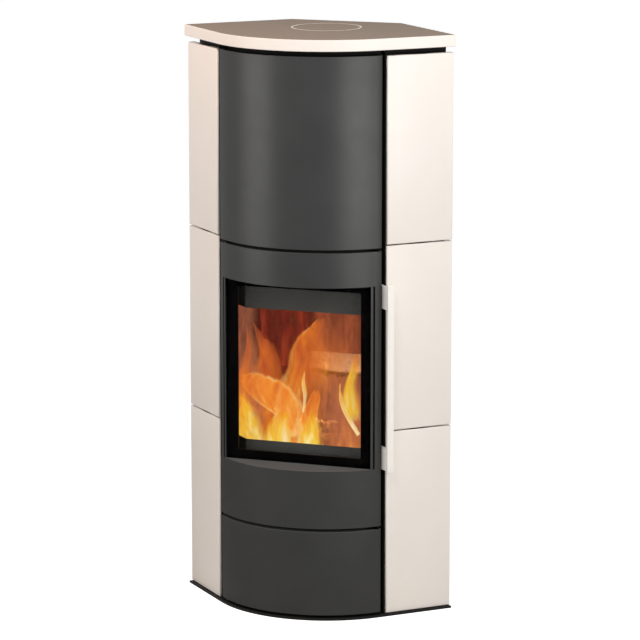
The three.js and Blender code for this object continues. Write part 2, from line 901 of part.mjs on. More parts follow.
// Side lining: parallel to the tiles, cut square to the front at its front end.
function sideLining(sign) {
  const outline = [
    new THREE.Vector2(liningInner * root2 + liningFront, liningFront),
    new THREE.Vector2((liningInner + liningThickness) * root2 + liningFront, liningFront),
    planPoint(fireboxRear + liningThickness - seat, liningInner + liningThickness),
    planPoint(fireboxRear + liningThickness - seat, liningInner),
  ];
  const points = outline.map((point) => new THREE.Vector2(sign * point.x, point.y));
  return prism(points, liningBottom, liningTop);
}

// Rear lining: along the room's wall, between the side lining and the back lining.
function rearLining(sign) {
  const back = fireboxBack - seat;
  const outer = fireboxRear + liningThickness - seat;
  const outline = [
    planPoint(fireboxRear, liningInner - seat),
    planPoint(outer, liningInner - seat),
    new THREE.Vector2(outer * root2 - back, back),
    new THREE.Vector2(fireboxRear * root2 - back, back),
  ];
  const points = outline.map((point) => new THREE.Vector2(sign * point.x, point.y));
  return prism(points, liningBottom, liningTop);
}

function backLining() {
  const near = fireboxBack;
  const far = fireboxBack + liningThickness;
  const line = (fireboxRear + liningThickness - seat) * root2;
  const outline = [
    new THREE.Vector2(line - near, near),
    new THREE.Vector2(line - far, far),
    new THREE.Vector2(far - line, far),
    new THREE.Vector2(near - line, near),
  ];
  return prism(outline, liningBottom, liningTop);
}

// A slab that fills the firebox plan between the linings, from a front line backwards.
function chamberSlab(front, z0, z1) {
  const outline = bodyOutline(liningInner - seat, fireboxRear - seat, fireboxBack - seat);
  return cut(prism(outline, z0, z1), inFrontOf(front, z0, z1));
}

function hearthStone() {
  const z0 = liningBottom;
  const z1 = z0 + hearthThickness;
  const well = box(
    -grateHalfWidth - seat,
    grateHalfWidth + seat,
    grateCentre - grateHalfDepth - seat,
    grateCentre + grateHalfDepth + seat,
    z0 - past,
    z1 + past,
  );
  return cut(chamberSlab(liningFront, z0, z1), well);
}

// Cast grate with long slots from front to back.
function grate() {
  const z0 = liningBottom;
  const z1 = z0 + grateThickness;
  const plate = box(
    -grateHalfWidth,
    grateHalfWidth,
    grateCentre - grateHalfDepth,
    grateCentre + grateHalfDepth,
    z0,
    z1,
  );
  const slots = [];
  const pitch = (2 * (grateHalfWidth - grateRim)) / grateSlots;
  for (let i = 0; i < grateSlots; i += 1) {
    const x = (i - (grateSlots - 1) / 2) * pitch;
    slots.push(
      box(
        x - grateSlotWidth / 2,
        x + grateSlotWidth / 2,
        grateCentre - grateHalfDepth + grateRim,
        grateCentre + grateHalfDepth - grateRim,
        z0 - past,
        z1 + past,
      ),
    );
  }
  return cut(plate, ...slots);
}

// Secondary air bar across the back lining, with a row of ports along its front.
function airBar() {
  const y1 = fireboxBack - seat;
  const y0 = y1 - airBarDepth;
  const bar = box(-airBarHalfWidth, airBarHalfWidth, y0, y1, airBarBottom, airBarBottom + airBarHeight);
  const ports = [];
  const pitch = (2 * airBarHalfWidth) / airPorts;
  const portZ = airBarBottom + airBarHeight / 2;
  for (let i = 0; i < airPorts; i += 1) {
    const x = (i - (airPorts - 1) / 2) * pitch;
    ports.push(
      box(
        x - airPortSize / 2,
        x + airPortSize / 2,
        y0 - past,
        y0 + airPortSize,
        portZ - airPortSize / 2,
        portZ + airPortSize / 2,
      ),
    );
  }
  return cut(bar, ...ports);
}

// Open pan that slides on the floor of the ash chamber, with a rolled rim to pull at the front.
function ashPan() {
  const z0 = ashPanBottom;
  const z1 = ashPanTop;
  const y0 = frontPlateBack + seat + ashPanRim;
  const y1 = y0 + ashPanDepth;
  const outside = box(-ashPanHalfWidth, ashPanHalfWidth, y0, y1, z0, z1);
  const inside = box(
    -ashPanHalfWidth + ashPanWall,
    ashPanHalfWidth - ashPanWall,
    y0 + ashPanWall,
    y1 - ashPanWall,
    z0 + ashPanWall,
    z1 + past,
  );
  const rim = box(
    -ashPanHalfWidth / 2,
    ashPanHalfWidth / 2,
    y0 - ashPanRim + seat,
    y0 + ashPanWall / 2,
    z1 - ashPanWall,
    z1,
  );
  return join(cut(outside, inside), rim);
}

const guardOutline = wingedOutline(guardHalfWidth, guardFront, guardSheet, guardWing);

add("firebox_shell", fireboxShell(), blackSteel);
add("firebox_front", fireboxFront(), blackSteel);
add("firebox_ceiling", fireboxCeiling(), blackSteel);
add("hearth_plate", hearthPlate(), blackSteel);
for (const { name, sign } of sides) {
  add(`side_lining_${name}`, sideLining(sign), fireboard);
  add(`rear_lining_${name}`, rearLining(sign), fireboard);
}
add("back_lining", backLining(), fireboard);
add("hearth_stone", hearthStone(), fireboard);
add("baffle", chamberSlab(baffleFront, baffleBottom, baffleBottom + baffleThickness), fireboard);
add("grate", grate(), castIron);
add("air_bar", airBar(), graphite);
add("log_guard", prism(guardOutline, liningBottom, guardTop), graphite);
add("air_deflector", prism(guardOutline, deflectorBottom, liningTop), graphite);
add("ash_pan", ashPan(), brightSteel);

// ---------------------------------------------------------------------------------------------------
// Firebox door
// ---------------------------------------------------------------------------------------------------

// Door skin: the folded curved sheet with the window recess, its crescent sill and head, and the
// flanges along the door's upper and lower edges.
function doorSkin() {
  const shell = prism(foldedOutline(), fireDoorBottom, fireDoorTop);
  const recess = box(
    -recessHalfWidth,
    recessHalfWidth,
    -2 * cornerRadius,
    0,
    recessBottom,
    recessTop,
  );
  const fused = cornerRadius - panelSheet / 2;
  const crescent = segmentOutline(fused, glassFront - seat);
  const flange = segmentOutline(fused, frameBack);
  const sill = prism(crescent, recessBottom - recessSheet, recessBottom);
  const head = prism(crescent, recessTop, recessTop + recessSheet);
  const foot = prism(flange, fireDoorBottom, fireDoorBottom + panelSheet);
  const top = prism(flange, fireDoorTop - panelSheet, fireDoorTop);
  return join(cut(shell, recess), sill, head, foot, top);
}

// Flat frame behind the glass, with the ears and pins that carry the catch rollers.
function doorFrame() {
  const z0 = fireDoorBottom + panelSheet + seat;
  const z1 = fireDoorTop - panelSheet - seat;
  const sheet = box(-doorFrameHalfWidth, doorFrameHalfWidth, frameFront, frameBack, z0, z1);
  const opening = box(
    -clearHalfWidth,
    clearHalfWidth,
    frameFront - past,
    frameBack + past,
    clearBottom,
    clearTop,
  );
  const carriers = [];
  for (const { z } of catchLevels) {
    const half = rollerHeight / 2;
    for (const ear of [z + half + seat, z - half - seat - earThickness]) {
      carriers.push(
        box(
          catchX - rollerRadius - past,
          catchX + rollerRadius,
          frameBack - past,
          rollerY + rollerRadius,
          ear,
          ear + earThickness,
        ),
      );
    }
    carriers.push(
      post(catchX, rollerY, rollerPinRadius, z - half - seat - past, z + half + seat + past, pinSteps),
    );
  }
  return join(cut(sheet, opening), ...carriers);
}

const rollerY = (frameBack + frontPlateFront) / 2;

function catchRoller(z) {
  const z0 = z - rollerHeight / 2;
  const z1 = z + rollerHeight / 2;
  return cut(
    post(catchX, rollerY, rollerRadius, z0, z1, pinSteps),
    post(catchX, rollerY, rollerPinRadius + pivotClearance, z0 - past, z1 + past, pinSteps),
  );
}

function doorGlass() {
  return box(
    -glassHalfWidth,
    glassHalfWidth,
    glassFront,
    glassBack,
    recessBottom - glassTuck,
    recessTop + glassTuck,
  );
}

// Rope seal: a square ring that meets the front plate.
function doorSeal() {
  const z0 = fireDoorBottom + sealInset;
  const z1 = fireDoorTop - sealInset;
  return cut(
    box(-sealHalfWidth, sealHalfWidth, sealFront, sealBack, z0, z1),
    box(-sealInner, sealInner, sealFront - past, sealBack + past, z0 + sealWidth, z1 - sealWidth),
  );
}

// A strip beside the window: its lip holds the glass and its front follows the round corner.
function glassRetainer(sign) {
  const faceY = (x) => -Math.sqrt(cornerRadius ** 2 - x ** 2) + seat;
  const outline = [
    [retainerInner, faceY(retainerInner)],
    [retainerOuter, faceY(retainerOuter)],
    [retainerOuter, frameBack],
    [retainerWeb, frameBack],
    [retainerWeb, glassFront - seat],
    [retainerInner, glassFront - seat],
  ];
  const points = outline.map(([x, y]) => new THREE.Vector2(sign * x, y));
  return prism(points, recessBottom + seat, recessTop - seat);
}

// A pivot: a block in the folded edge of a door with a pin that enters the eye above or below it.
function doorPivot(blockStart, blockEnd, pinEnd) {
  const near = -pivotRadius - past;
  const outline = [
    planPoint(near, returnEnd),
    planPoint(innerEdge - seat, returnEnd),
    ...arc(innerBendCentre, innerBend - seat, quarter, -quarter, bendSteps),
    planPoint(near, panelInner - seat),
  ].map((point) => new THREE.Vector2(-point.x, point.y));
  const pinStart = (blockStart + blockEnd) / 2;
  const pin = post(
    -pivotCentre.x,
    pivotCentre.y,
    pivotRadius,
    Math.min(pinStart, pinEnd),
    Math.max(pinStart, pinEnd),
    pinSteps,
  );
  return join(prism(outline, blockStart, blockEnd), pin);
}

const eyeMiddle = lowerFloorBottom + floorSheet / 2;
const pinGap = 0.4;

// The pull handle: a bevelled bar on two brackets that lie against the door's folded edge and reach out
// of the groove beside it.
const handleBottom = fireDoorBottom + handleLift;
const handleTop = handleBottom + handleHeight;
const handleAlong = panelEdge + seat;
const handleOut = cornerRadius + handleStandoff;

function handleBar() {
  const section = [
    new THREE.Vector2(handleAlong, -handleOut),
    new THREE.Vector2(handleAlong + handleWidth, -handleOut),
    new THREE.Vector2(handleAlong + handleWidth, -handleOut - handleDepth),
    new THREE.Vector2(handleAlong, -handleOut - handleDepth),
  ];
  return prism(section, handleBottom, handleTop, handleRound);
}

function handleBracket(z0) {
  return sideBox(
    1,
    handleAlong,
    handleAlong + bracketThickness,
    returnEnd + seat,
    handleOut - seat,
    z0,
    z0 + bracketHeight,
  );
}

const rightFrame = sides[0].frame;

add("door_skin", doorSkin(), graphite);
add("door_frame", doorFrame(), blackSteel);
add("door_glass", doorGlass(), windowGlass);
add("door_seal", doorSeal(), sealRope);
for (const { name, sign } of sides) {
  add(`glass_retainer_${name}`, glassRetainer(sign), graphite);
}
for (const { name, z } of catchLevels) {
  add(`catch_roller_${name}`, catchRoller(z), brightSteel);
}
const fireBlockTop = fireDoorTop - panelSheet - seat;
const fireBlockBottom = fireDoorBottom + panelSheet + seat;
add(
  "door_pivot_upper",
  doorPivot(fireBlockTop - pivotBlockHeight, fireBlockTop, upperFloorBottom + floorSheet - past),
  brightSteel,
);
add(
  "door_pivot_lower",
  doorPivot(fireBlockBottom, fireBlockBottom + pivotBlockHeight, eyeMiddle + pinGap / 2),
  brightSteel,
);
add("handle_bar", handleBar(), ivoryTile, rightFrame);
add("handle_bracket_upper", handleBracket(handleTop - bracketInset - bracketHeight), ivoryTile, rightFrame);
add("handle_bracket_lower", handleBracket(handleBottom + bracketInset), ivoryTile, rightFrame);

// ---------------------------------------------------------------------------------------------------
// Compartment door, air supply and magnet
// ---------------------------------------------------------------------------------------------------

function lowerDoorPanel() {
  const flange = segmentOutline(cornerRadius - panelSheet / 2, frameBack);
  return join(
    prism(foldedOutline(), lowerDoorBottom, lowerDoorTop),
    prism(flange, lowerDoorBottom, lowerDoorBottom + panelSheet),
    prism(flange, lowerDoorTop - panelSheet, lowerDoorTop),
  );
}

function lowerDoorLiner() {
  return box(
    -doorFrameHalfWidth,
    doorFrameHalfWidth,
    frameBack + seat,
    frameBack + seat + linerSheet,
    lowerDoorBottom + panelSheet,
    lowerDoorTop - panelSheet,
  );
}

function airDuct() {
  const z0 = basePlateThickness + seat;
  const z1 = lowerFloorBottom - seat;
  return cut(
    post(0, ductBack, ductRadius, z0, z1),
    post(0, ductBack, ductRadius - ductWall, z0 - past, z1 + past),
  );
}

// Air control: a flat bar in two guides under the compartment's ceiling, with a knob to push sideways.
function airSlider() {
  const z1 = lowerFloorBottom - sliderDrop;
  const z0 = z1 - sliderThickness;
  const bar = box(
    sliderLeft,
    sliderRight,
    sliderY - sliderWidth / 2,
    sliderY + sliderWidth / 2,
    z0,
    z1,
  );
  const knob = post(knobX, sliderY, knobRadius, z0 - knobLength, z0 + past, pinSteps);
  return join(bar, knob);
}

function magnetCatch() {
  const y0 = frameBack + seat + linerSheet + seat;
  const z1 = lowerFloorBottom - seat;
  return box(
    magnetX - magnetWidth / 2,
    magnetX + magnetWidth / 2,
    y0,
    y0 + magnetDepth,
    z1 - magnetHeight,
    z1,
  );
}

add("lower_door_panel", lowerDoorPanel(), graphite);
add("lower_door_liner", lowerDoorLiner(), blackSteel);
const lowerBlockTop = lowerDoorTop - panelSheet - seat;
const lowerBlockBottom = lowerDoorBottom + panelSheet + seat;
add(
  "lower_door_pivot_upper",
  doorPivot(lowerBlockTop - pivotBlockHeight, lowerBlockTop, eyeMiddle - pinGap / 2),
  brightSteel,
);
add(
  "lower_door_pivot_lower",
  doorPivot(lowerBlockBottom, lowerBlockBottom + pivotBlockHeight, pinLift),
  brightSteel,
);
add("air_duct", airDuct(), blackSteel);
add("air_slider", airSlider(), brightSteel);
add("magnet_catch", magnetCatch(), castIron);

export default stove;
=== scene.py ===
"""Looks for a tall corner stove clad in ceramic tiles, with a fire behind its window.

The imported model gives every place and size. Steel, tiles and linings are copies of its nodes with welded
points and rounded edges, so they stand where the nodes stand. The fire, the printed border of the window,
the rope seal and the screws are drawn here. Lengths are millimetres in the plan of the round corner, whose
centre lies PLAN_Y behind the origin, and are turned into metres when a mesh is made.
"""

import json
import math

import bmesh
import bpy
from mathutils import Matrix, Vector, noise

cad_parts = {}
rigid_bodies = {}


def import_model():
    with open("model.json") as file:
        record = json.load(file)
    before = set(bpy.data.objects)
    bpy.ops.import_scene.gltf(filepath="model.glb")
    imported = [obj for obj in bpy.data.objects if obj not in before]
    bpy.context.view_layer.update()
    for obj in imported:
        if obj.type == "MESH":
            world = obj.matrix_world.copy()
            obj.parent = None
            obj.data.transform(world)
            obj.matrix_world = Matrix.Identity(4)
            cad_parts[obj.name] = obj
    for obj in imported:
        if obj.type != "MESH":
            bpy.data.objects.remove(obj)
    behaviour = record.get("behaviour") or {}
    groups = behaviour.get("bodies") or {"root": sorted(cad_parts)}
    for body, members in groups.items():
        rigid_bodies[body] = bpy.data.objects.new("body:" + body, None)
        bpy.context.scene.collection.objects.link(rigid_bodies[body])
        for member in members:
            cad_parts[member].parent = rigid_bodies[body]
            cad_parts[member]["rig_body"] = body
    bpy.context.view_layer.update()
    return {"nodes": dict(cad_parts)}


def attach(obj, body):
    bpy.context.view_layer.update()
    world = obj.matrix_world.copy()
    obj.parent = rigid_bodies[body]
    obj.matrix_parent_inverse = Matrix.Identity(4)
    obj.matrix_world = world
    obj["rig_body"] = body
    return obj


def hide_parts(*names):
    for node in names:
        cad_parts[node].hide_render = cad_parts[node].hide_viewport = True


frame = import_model()
nodes = frame["nodes"]

# ----------------------------------------------------------------------------------------------------
# Named sizes, in millimetres and degrees where nothing else is said
# ----------------------------------------------------------------------------------------------------

MM = 0.001
PLAN_Y = 67.2
UPWARD = Vector((0, 0, 1))
BACKWARD = Vector((0, 1, 0))

# Copies of the nodes: points closer than WELD become one, and so do faces that turn less than FLAT.
WELD = 0.01
FLAT = 0.4

# Rounded edges of the copies, at corners that turn more than CREASE.
CREASE = 25
FOLD_EDGE = 0.4
GLASS_EDGE = 0.4
SMALL_EDGE = 0.5
TOP_EDGE = 0.6
SHEET_EDGE = 0.7
PLATE_EDGE = 1.0
BOARD_EDGE = 1.2
BLOCK_EDGE = 2.0
EDGE_SEGMENTS = 2
FINE_SEGMENTS = 3
FLAT_FACE_WEIGHT = 80

# Printed border, behind the flat glass. An outline is its half width, its lowest and its highest point.
PRINT_FRONT = -186.95
PRINT_BACK = -186.75
PRINT_OUTER = (177, 341, 786.5)
PRINT_INNER = (150, 372, 758)
PRINT_CORNER = 5
PRINT_CORNER_STEPS = 8
PRINT_EDGE = 0.02

# Rope seal of the firebox door. Its radius swells and shrinks by a share from ring to ring.
SEAL_HALF = 164
SEAL_Z = (227, 845)
SEAL_Y = (-181.4, -170.4)
SEAL_RADIUS = 5
SEAL_CORNER = 14
SEAL_CORNER_STEPS = 10
SEAL_STEPS = 12
SEAL_RING_GAP = 6
SEAL_SWELL = 0.06
SEAL_TWIST = 2.1

# Bed of embers: a heap with a sloping rim, covered with coarse and fine lumps.
HEARTH_TOP = 345
EMBER_X = (-132, 132)
EMBER_Y = (-104, 34)
EMBER_COLUMNS = 56
EMBER_ROWS = 36
EMBER_BOTTOM = 0.2
EMBER_RIM = 0.4
EMBER_SLOPE = 5
EMBER_HEAP = 7
EMBER_LUMP = 16
COARSE_LUMP = 17
FINE_LUMP = 7
FINE_LUMP_LEVEL = 40

# Logs: radius shares at the ends and in height, the bow upwards, and the ridges of the bark.
LOG_RINGS = 40
LOG_STEPS = 36
LOG_BOW = 6
LOG_END = 0.72
LOG_END_SLOPE = 3
LOG_FLATNESS = 0.9
RIDGES_PER_METRE = Vector((22, 60, 60))
RIDGE_SHARE = 0.30
SPLINTER_SHARE = 0.10
SPLINTERS_PER_RIDGE = 3

# Strips of flame.
FLAME_ROWS = 48
FLAME_COLUMNS = 12
FLAME_LEAST_HALF = 0.5
FLAME_BULGE = 14
FLAME_RIPPLE = 7
RIPPLES_ACROSS = 1.3
RIPPLE_HEIGHT = 55

# Screws of the rear panels. The head's profile gives shares of its height and radius; the cross slot has
# arms and waists, as shares of the radius, and narrows towards its floor.
SCREW_RADIUS = 4.2
SCREW_HEIGHT = 2.0
SCREW_INSET = 10
SCREW_LEVELS = (60, 470, 880, 1255)
SCREW_STEPS = 24
HEAD_PROFILE = ((0.0, 1.0), (0.45, 1.0), (0.8, 0.82), (1.0, 0.5))
ARM_STEPS = 6
SLOT_ARM = 0.42
SLOT_WAIST = 0.16
SLOT_MOUTH_LEVEL = 0.98
SLOT_FLOOR_LEVEL = 0.5
SLOT_FLOOR_SHARE = 0.7
FACE_TOLERANCE = 0.1

# Studio, in metres: the floor, its brightness to the camera and to gloss from afar, and the surround.
FLOOR_REACH = 30.0
FLOOR_CELLS = 6
FLOOR_TO_CAMERA = 0.84
FLOOR_TO_GLOSS = 0.75
GLOSS_RANGE = (2.0, 3.4)
SURROUND = 0.16

# Light of the fire: its place is in millimetres of the plan, its power in watts.
FIRE_PLACE = (10, -62, 470)
FIRE_POWER = 1.6
FIRE_RADIUS = 40

# Camera that fits the photograph. Its place and far end are in metres.
CAMERA_PLACE = (2.6080, -7.2613, 2.1845)
CAMERA_TILT = 78.857
CAMERA_TURN = 19.699
CAMERA_LENS = 190.48
CAMERA_FAR = 100

# ----------------------------------------------------------------------------------------------------
# Named colours and shader values
# ----------------------------------------------------------------------------------------------------

def srgb(red, green, blue):
    """A colour written as 0-255 sRGB values, turned into linear values by the rule of that standard."""
    def linear(value):
        part = value / 255
        return part / 12.92 if part <= 0.04045 else ((part + 0.055) / 1.055) ** 2.4
    return (linear(red), linear(green), linear(blue), 1.0)


def stops(places, *colours):
    """Stops of a colour ramp: a place from 0 to 1 and an sRGB colour for each."""
    return [(place, srgb(*colour)) for place, colour in zip(places, colours)]


BLACK = (0.0, 0.0, 0.0, 1.0)
WHITE = (1.0, 1.0, 1.0, 1.0)
# Painted light and shade of the graphite paint: a paler tone on faces that look up, near black on those that
# look down.
SHADED_UNDERSIDE_TINT = srgb(9, 9, 9)
LIT_TOP_TINT = srgb(92, 93, 92)
PAINT_GLINT = srgb(96, 95, 92)
GLAZE_SPECK = srgb(168, 150, 134)
IVORY = (srgb(249, 243, 236), srgb(247, 240, 232))
RIM_TINT = (0.55, 0.55, 0.55, 1.0)

# Lamp colours.
PURE_LIGHT = (1.0, 1.0, 1.0)
NEAR_WHITE = (1.0, 0.96, 0.93)
WARM_LIGHT = (1.0, 0.76, 0.63)
FIRE_LIGHT = (1.0, 0.50, 0.20)

# Ranges: most noise lies in MIDDLE, and a face is level where its normal's upward part is past LEVEL.
RISING = (0.0, 1.0)
FALLING = (1.0, 0.0)
MIDDLE = (0.3, 0.7)
LEVEL = (0.90, 0.985)

# Sockets of the Mix node where it mixes colours.
MIX_FACTOR, MIX_FIRST, MIX_SECOND, MIX_RESULT = 0, 6, 7, 2

# Heat of a flame at its foot, what it loses up to its tip, and the heats at which its colours stand.
FOOT_HEAT = 0.80
HEAT_LOSS = 0.55
FLAME_HEATS = (0.0, 0.4, 0.75, 1.0)


# ----------------------------------------------------------------------------------------------------
# Materials. Scales are in features for each metre, depths in millimetres.
# ----------------------------------------------------------------------------------------------------

class Look:
    """One material: a principled shader and short calls that add nodes to it."""

    def __init__(self, name, roughness=0.5, metallic=0.0):
        self.material = bpy.data.materials.new(name)
        self.material.use_nodes = True
        self.tree = self.material.node_tree
        self.shader = next(n for n in self.tree.nodes if n.type == "BSDF_PRINCIPLED")
        self.place = self.tree.nodes.new("ShaderNodeTexCoord").outputs["Object"]
        self.relief = None
        self.put("Roughness", roughness)
        self.put("Metallic", metallic)

    def join(self, source, socket):
        """Links a socket to a source, or sets it where the source is a plain value."""
        if isinstance(source, bpy.types.NodeSocket):
            self.tree.links.new(source, socket)
        else:
            socket.default_value = source

    def put(self, socket, source):
        self.join(source, self.shader.inputs[socket])

    def add(self, kind, inputs=None, **settings):
        """A new node with its settings and with its inputs joined."""
        node = self.tree.nodes.new(kind)
        for key, value in settings.items():
            setattr(node, key, value)
        for key, value in (inputs or {}).items():
            self.join(value, node.inputs[key])
        return node

    def stretch(self, x, y, z):
        """Object coordinates with each axis scaled by itself."""
        mapping = self.add("ShaderNodeMapping", {"Vector": self.place, "Scale": (x, y, z)})
        return mapping.outputs["Vector"]

    def noise(self, scale, detail=3.0, place=None, distortion=0.0, roughness=0.5):
        inputs = {
            "Vector": place or self.place,
            "Scale": scale,
            "Detail": detail,
            "Roughness": roughness,
            "Distortion": distortion,
        }
        return self.add("ShaderNodeTexNoise", inputs).outputs["Fac"]

    def cells(self, scale, feature="F1", place=None):
        inputs = {"Vector": place or self.place, "Scale": scale}
        return self.add("ShaderNodeTexVoronoi", inputs, feature=feature).outputs["Distance"]

    def fit(self, value, source, target=RISING):
        """A value moved from one range to another and kept inside it."""
        inputs = {
            "Value": value,
            "From Min": source[0],
            "From Max": source[1],
            "To Min": target[0],
            "To Max": target[1],
        }
        return self.add("ShaderNodeMapRange", inputs).outputs["Result"]

    def math(self, operation, first, second=0.0):
        node = self.add("ShaderNodeMath", {0: first, 1: second}, operation=operation)
        return node.outputs["Value"]

    def blend(self, factor, first, second):
        """A colour between two others."""
        inputs = {MIX_FACTOR: factor, MIX_FIRST: first, MIX_SECOND: second}
        return self.add("ShaderNodeMix", inputs, data_type="RGBA").outputs[MIX_RESULT]

    def ramp(self, factor, colour_stops):
        node = self.add("ShaderNodeValToRGB", {"Fac": factor})
        elements = node.color_ramp.elements
        while len(elements) < len(colour_stops):
            elements.new(0.5)
        for element, (position, colour) in zip(elements, colour_stops):
            element.position = position
            element.color = colour
        return node.outputs["Color"]

    def bump(self, height, depth, strength):
        """Adds one layer of relief on top of the layers before it."""
        inputs = {"Height": height, "Distance": depth * MM, "Strength": strength}
        if self.relief is not None:
            inputs["Normal"] = self.relief
        self.relief = self.add("ShaderNodeBump", inputs).outputs["Normal"]
        self.put("Normal", self.relief)

    def facing_up(self):
        """One on faces that look up, minus one on those that look down."""
        normal = self.add("ShaderNodeNewGeometry").outputs["Normal"]
        return self.add("ShaderNodeSeparateXYZ", {"Vector": normal}).outputs["Z"]


def glaze(name, light, dark, level_shade, level_roughness):
    """Ceramic glaze with slow clouding, fine specks, a soft waviness and an orange-peel surface.

    Level faces take a darker colour, which is painted shade for the light that reaches them less, and
    a duller gloss: the upper face of the top plate and the tile faces inside the joints.
    """
    look = Look(name)
    cloud = look.fit(look.noise(scale=7.0, detail=4.0), MIDDLE)
    specks = look.fit(look.noise(scale=1400.0, detail=2.0), (0.70, 0.76), (0.0, 0.22))
    grains = look.fit(look.noise(scale=900.0), (0.35, 0.7), (0.0, 0.08))
    level = look.fit(look.math("ABSOLUTE", look.facing_up()), LEVEL)
    glazed = look.blend(specks, look.blend(cloud, light, dark), GLAZE_SPECK)
    # Painted shade: level faces take the darker colour given for them in place of the glaze.
    look.put("Base Color", look.blend(level, glazed, look.blend(grains, level_shade, light)))
    gloss = look.fit(look.noise(scale=18.0), MIDDLE, (0.30, 0.38))
    look.put("Roughness", look.fit(level, RISING, (gloss, level_roughness)))
    look.put("Specular IOR Level", 0.35)
    look.bump(look.noise(scale=9.0, detail=1.0), depth=0.5, strength=0.12)
    look.bump(look.noise(scale=520.0, detail=2.0), depth=0.02, strength=0.35)
    return look.material


def paint(name, colour, worn, roughness, metallic, painted_facing_light=False):
    """Baked stove paint: a fine grain, faint clouds and slightly polished patches.

    With the last flag set, faces that look up get a paler tone, which is painted light, and a dull gloss,
    and faces that look down get a near-black painted shade.
    """
    look = Look(name)
    grain = look.noise(scale=2600.0, detail=2.0)
    cloud = look.fit(look.noise(scale=9.0, detail=4.0), (0.25, 0.75))
    glint = look.fit(grain, (0.55, 0.75), (0.0, 0.18))
    mixed = look.blend(glint, look.blend(cloud, colour, worn), PAINT_GLINT)
    polish = look.noise(scale=30.0, detail=4.0)
    gloss = look.fit(polish, MIDDLE, (roughness - 0.015, roughness + 0.02))
    if painted_facing_light:
        # Painted light on faces that look up and painted shade on faces that look down.
        facing = look.facing_up()
        above = look.fit(facing, LEVEL)
        below = look.fit(facing, (-LEVEL[1], -LEVEL[0]), FALLING)
        level = look.math("MAXIMUM", above, below)
        look.put("Base Color", look.blend(below, look.blend(above, mixed, LIT_TOP_TINT), SHADED_UNDERSIDE_TINT))
        look.put("Roughness", look.fit(level, RISING, (gloss, 0.9)))
        look.put("Metallic", look.fit(level, RISING, (metallic, 0.0)))
    else:
        look.put("Base Color", mixed)
        look.put("Roughness", gloss)
        look.put("Metallic", metallic)
    look.put("Specular IOR Level", 0.33)
    look.put("Specular Tint", RIM_TINT)
    look.bump(grain, depth=0.04, strength=0.5)
    return look.material


def enamel(name, light, dark):
    """Powder-coated handle: smooth, with a faint pebble surface."""
    look = Look(name)
    look.put("Base Color", look.blend(look.fit(look.noise(scale=60.0), MIDDLE), light, dark))
    look.put("Roughness", look.fit(look.noise(scale=90.0), MIDDLE, (0.30, 0.42)))
    look.bump(look.noise(scale=1500.0, detail=2.0), depth=0.02, strength=0.5)
    return look.material


def metal(name, colour, dark):
    """Zinc-plated steel with a brushed direction and dull spots."""
    look = Look(name, metallic=1.0)
    brushed = look.noise(scale=300.0, place=look.stretch(1.0, 1.0, 12.0))
    look.put("Base Color", look.blend(look.fit(brushed, MIDDLE), colour, dark))
    look.put("Roughness", look.fit(look.noise(scale=45.0), MIDDLE, (0.26, 0.44)))
    look.bump(brushed, depth=0.02, strength=0.4)
    return look.material


def cast(name):
    """Cast iron: coarse sand skin and rusty brown in the hollows."""
    look = Look(name, metallic=0.4)
    skin = look.noise(scale=420.0, detail=5.0, roughness=0.6)
    tones = stops((0.3, 0.6, 0.8), (34, 30, 28), (62, 58, 55), (92, 74, 60))
    look.put("Base Color", look.ramp(skin, tones))
    look.put("Roughness", look.fit(skin, MIDDLE, (0.82, 0.60)))
    look.bump(skin, depth=0.5, strength=0.6)
    return look.material


def board(name):
    """Pressed fireboard: flaky, buff where it burned clean, with soot in soft clouds."""
    look = Look(name, roughness=0.95)
    flakes = look.cells(scale=170.0)
    tones = stops((0.0, 0.5, 1.0), (148, 122, 96), (120, 98, 78), (90, 74, 60))
    soot = look.fit(look.noise(scale=11.0, detail=5.0, roughness=0.6), (0.38, 0.66))
    look.put("Base Color", look.blend(soot, look.ramp(flakes, tones), srgb(44, 38, 34)))
    look.bump(flakes, depth=0.8, strength=0.5)
    look.bump(look.noise(scale=600.0), depth=0.15, strength=0.6)
    return look.material


def scaled(name):
    """Steel above the fire: a pale tone that is painted light, for the firelight on it, with darker patches.
    """
    look = Look(name, roughness=0.8)
    scale = look.noise(scale=120.0, detail=5.0, place=look.stretch(0.5, 1.0, 1.0))
    look.put("Base Color", look.ramp(scale, stops((0.35, 0.65), (176, 152, 132), (222, 196, 174))))
    look.bump(scale, depth=0.2, strength=0.5)
    return look.material


def stone(name):
    """Cast heat-store concrete with small pores."""
    look = Look(name, roughness=0.9)
    pores = look.cells(scale=240.0)
    tones = stops(MIDDLE, (120, 112, 102), (156, 148, 136))
    mixed = look.ramp(look.noise(scale=45.0, detail=6.0), tones)
    shade = look.fit(pores, (0.05, 0.16), (0.6, 0.0))
    look.put("Base Color", look.blend(shade, mixed, srgb(74, 68, 62)))
    look.bump(pores, depth=0.4, strength=0.5)
    return look.material


def rope(name):
    """Braided glass-fibre rope, dark from the heat."""
    look = Look(name, roughness=0.95)
    strand = look.noise(scale=500.0, detail=4.0)
    look.put("Base Color", look.ramp(strand, stops(MIDDLE, (30, 29, 28), (74, 72, 68))))
    look.bump(strand, depth=0.3, strength=0.7)
    return look.material


def clear_glass(name):
    """Ceramic glass: clear, very slightly warm, with a faint smoke haze in its roughness."""
    look = Look(name)
    tint = look.fit(look.noise(scale=5.0), MIDDLE)
    look.put("Base Color", look.blend(tint, srgb(252, 250, 246), srgb(247, 243, 236)))
    look.put("Roughness", look.fit(look.noise(scale=14.0, detail=4.0), (0.4, 0.75), (0.0, 0.035)))
    look.put("Transmission Weight", 1.0)
    look.put("IOR", 1.05)
    return look.material


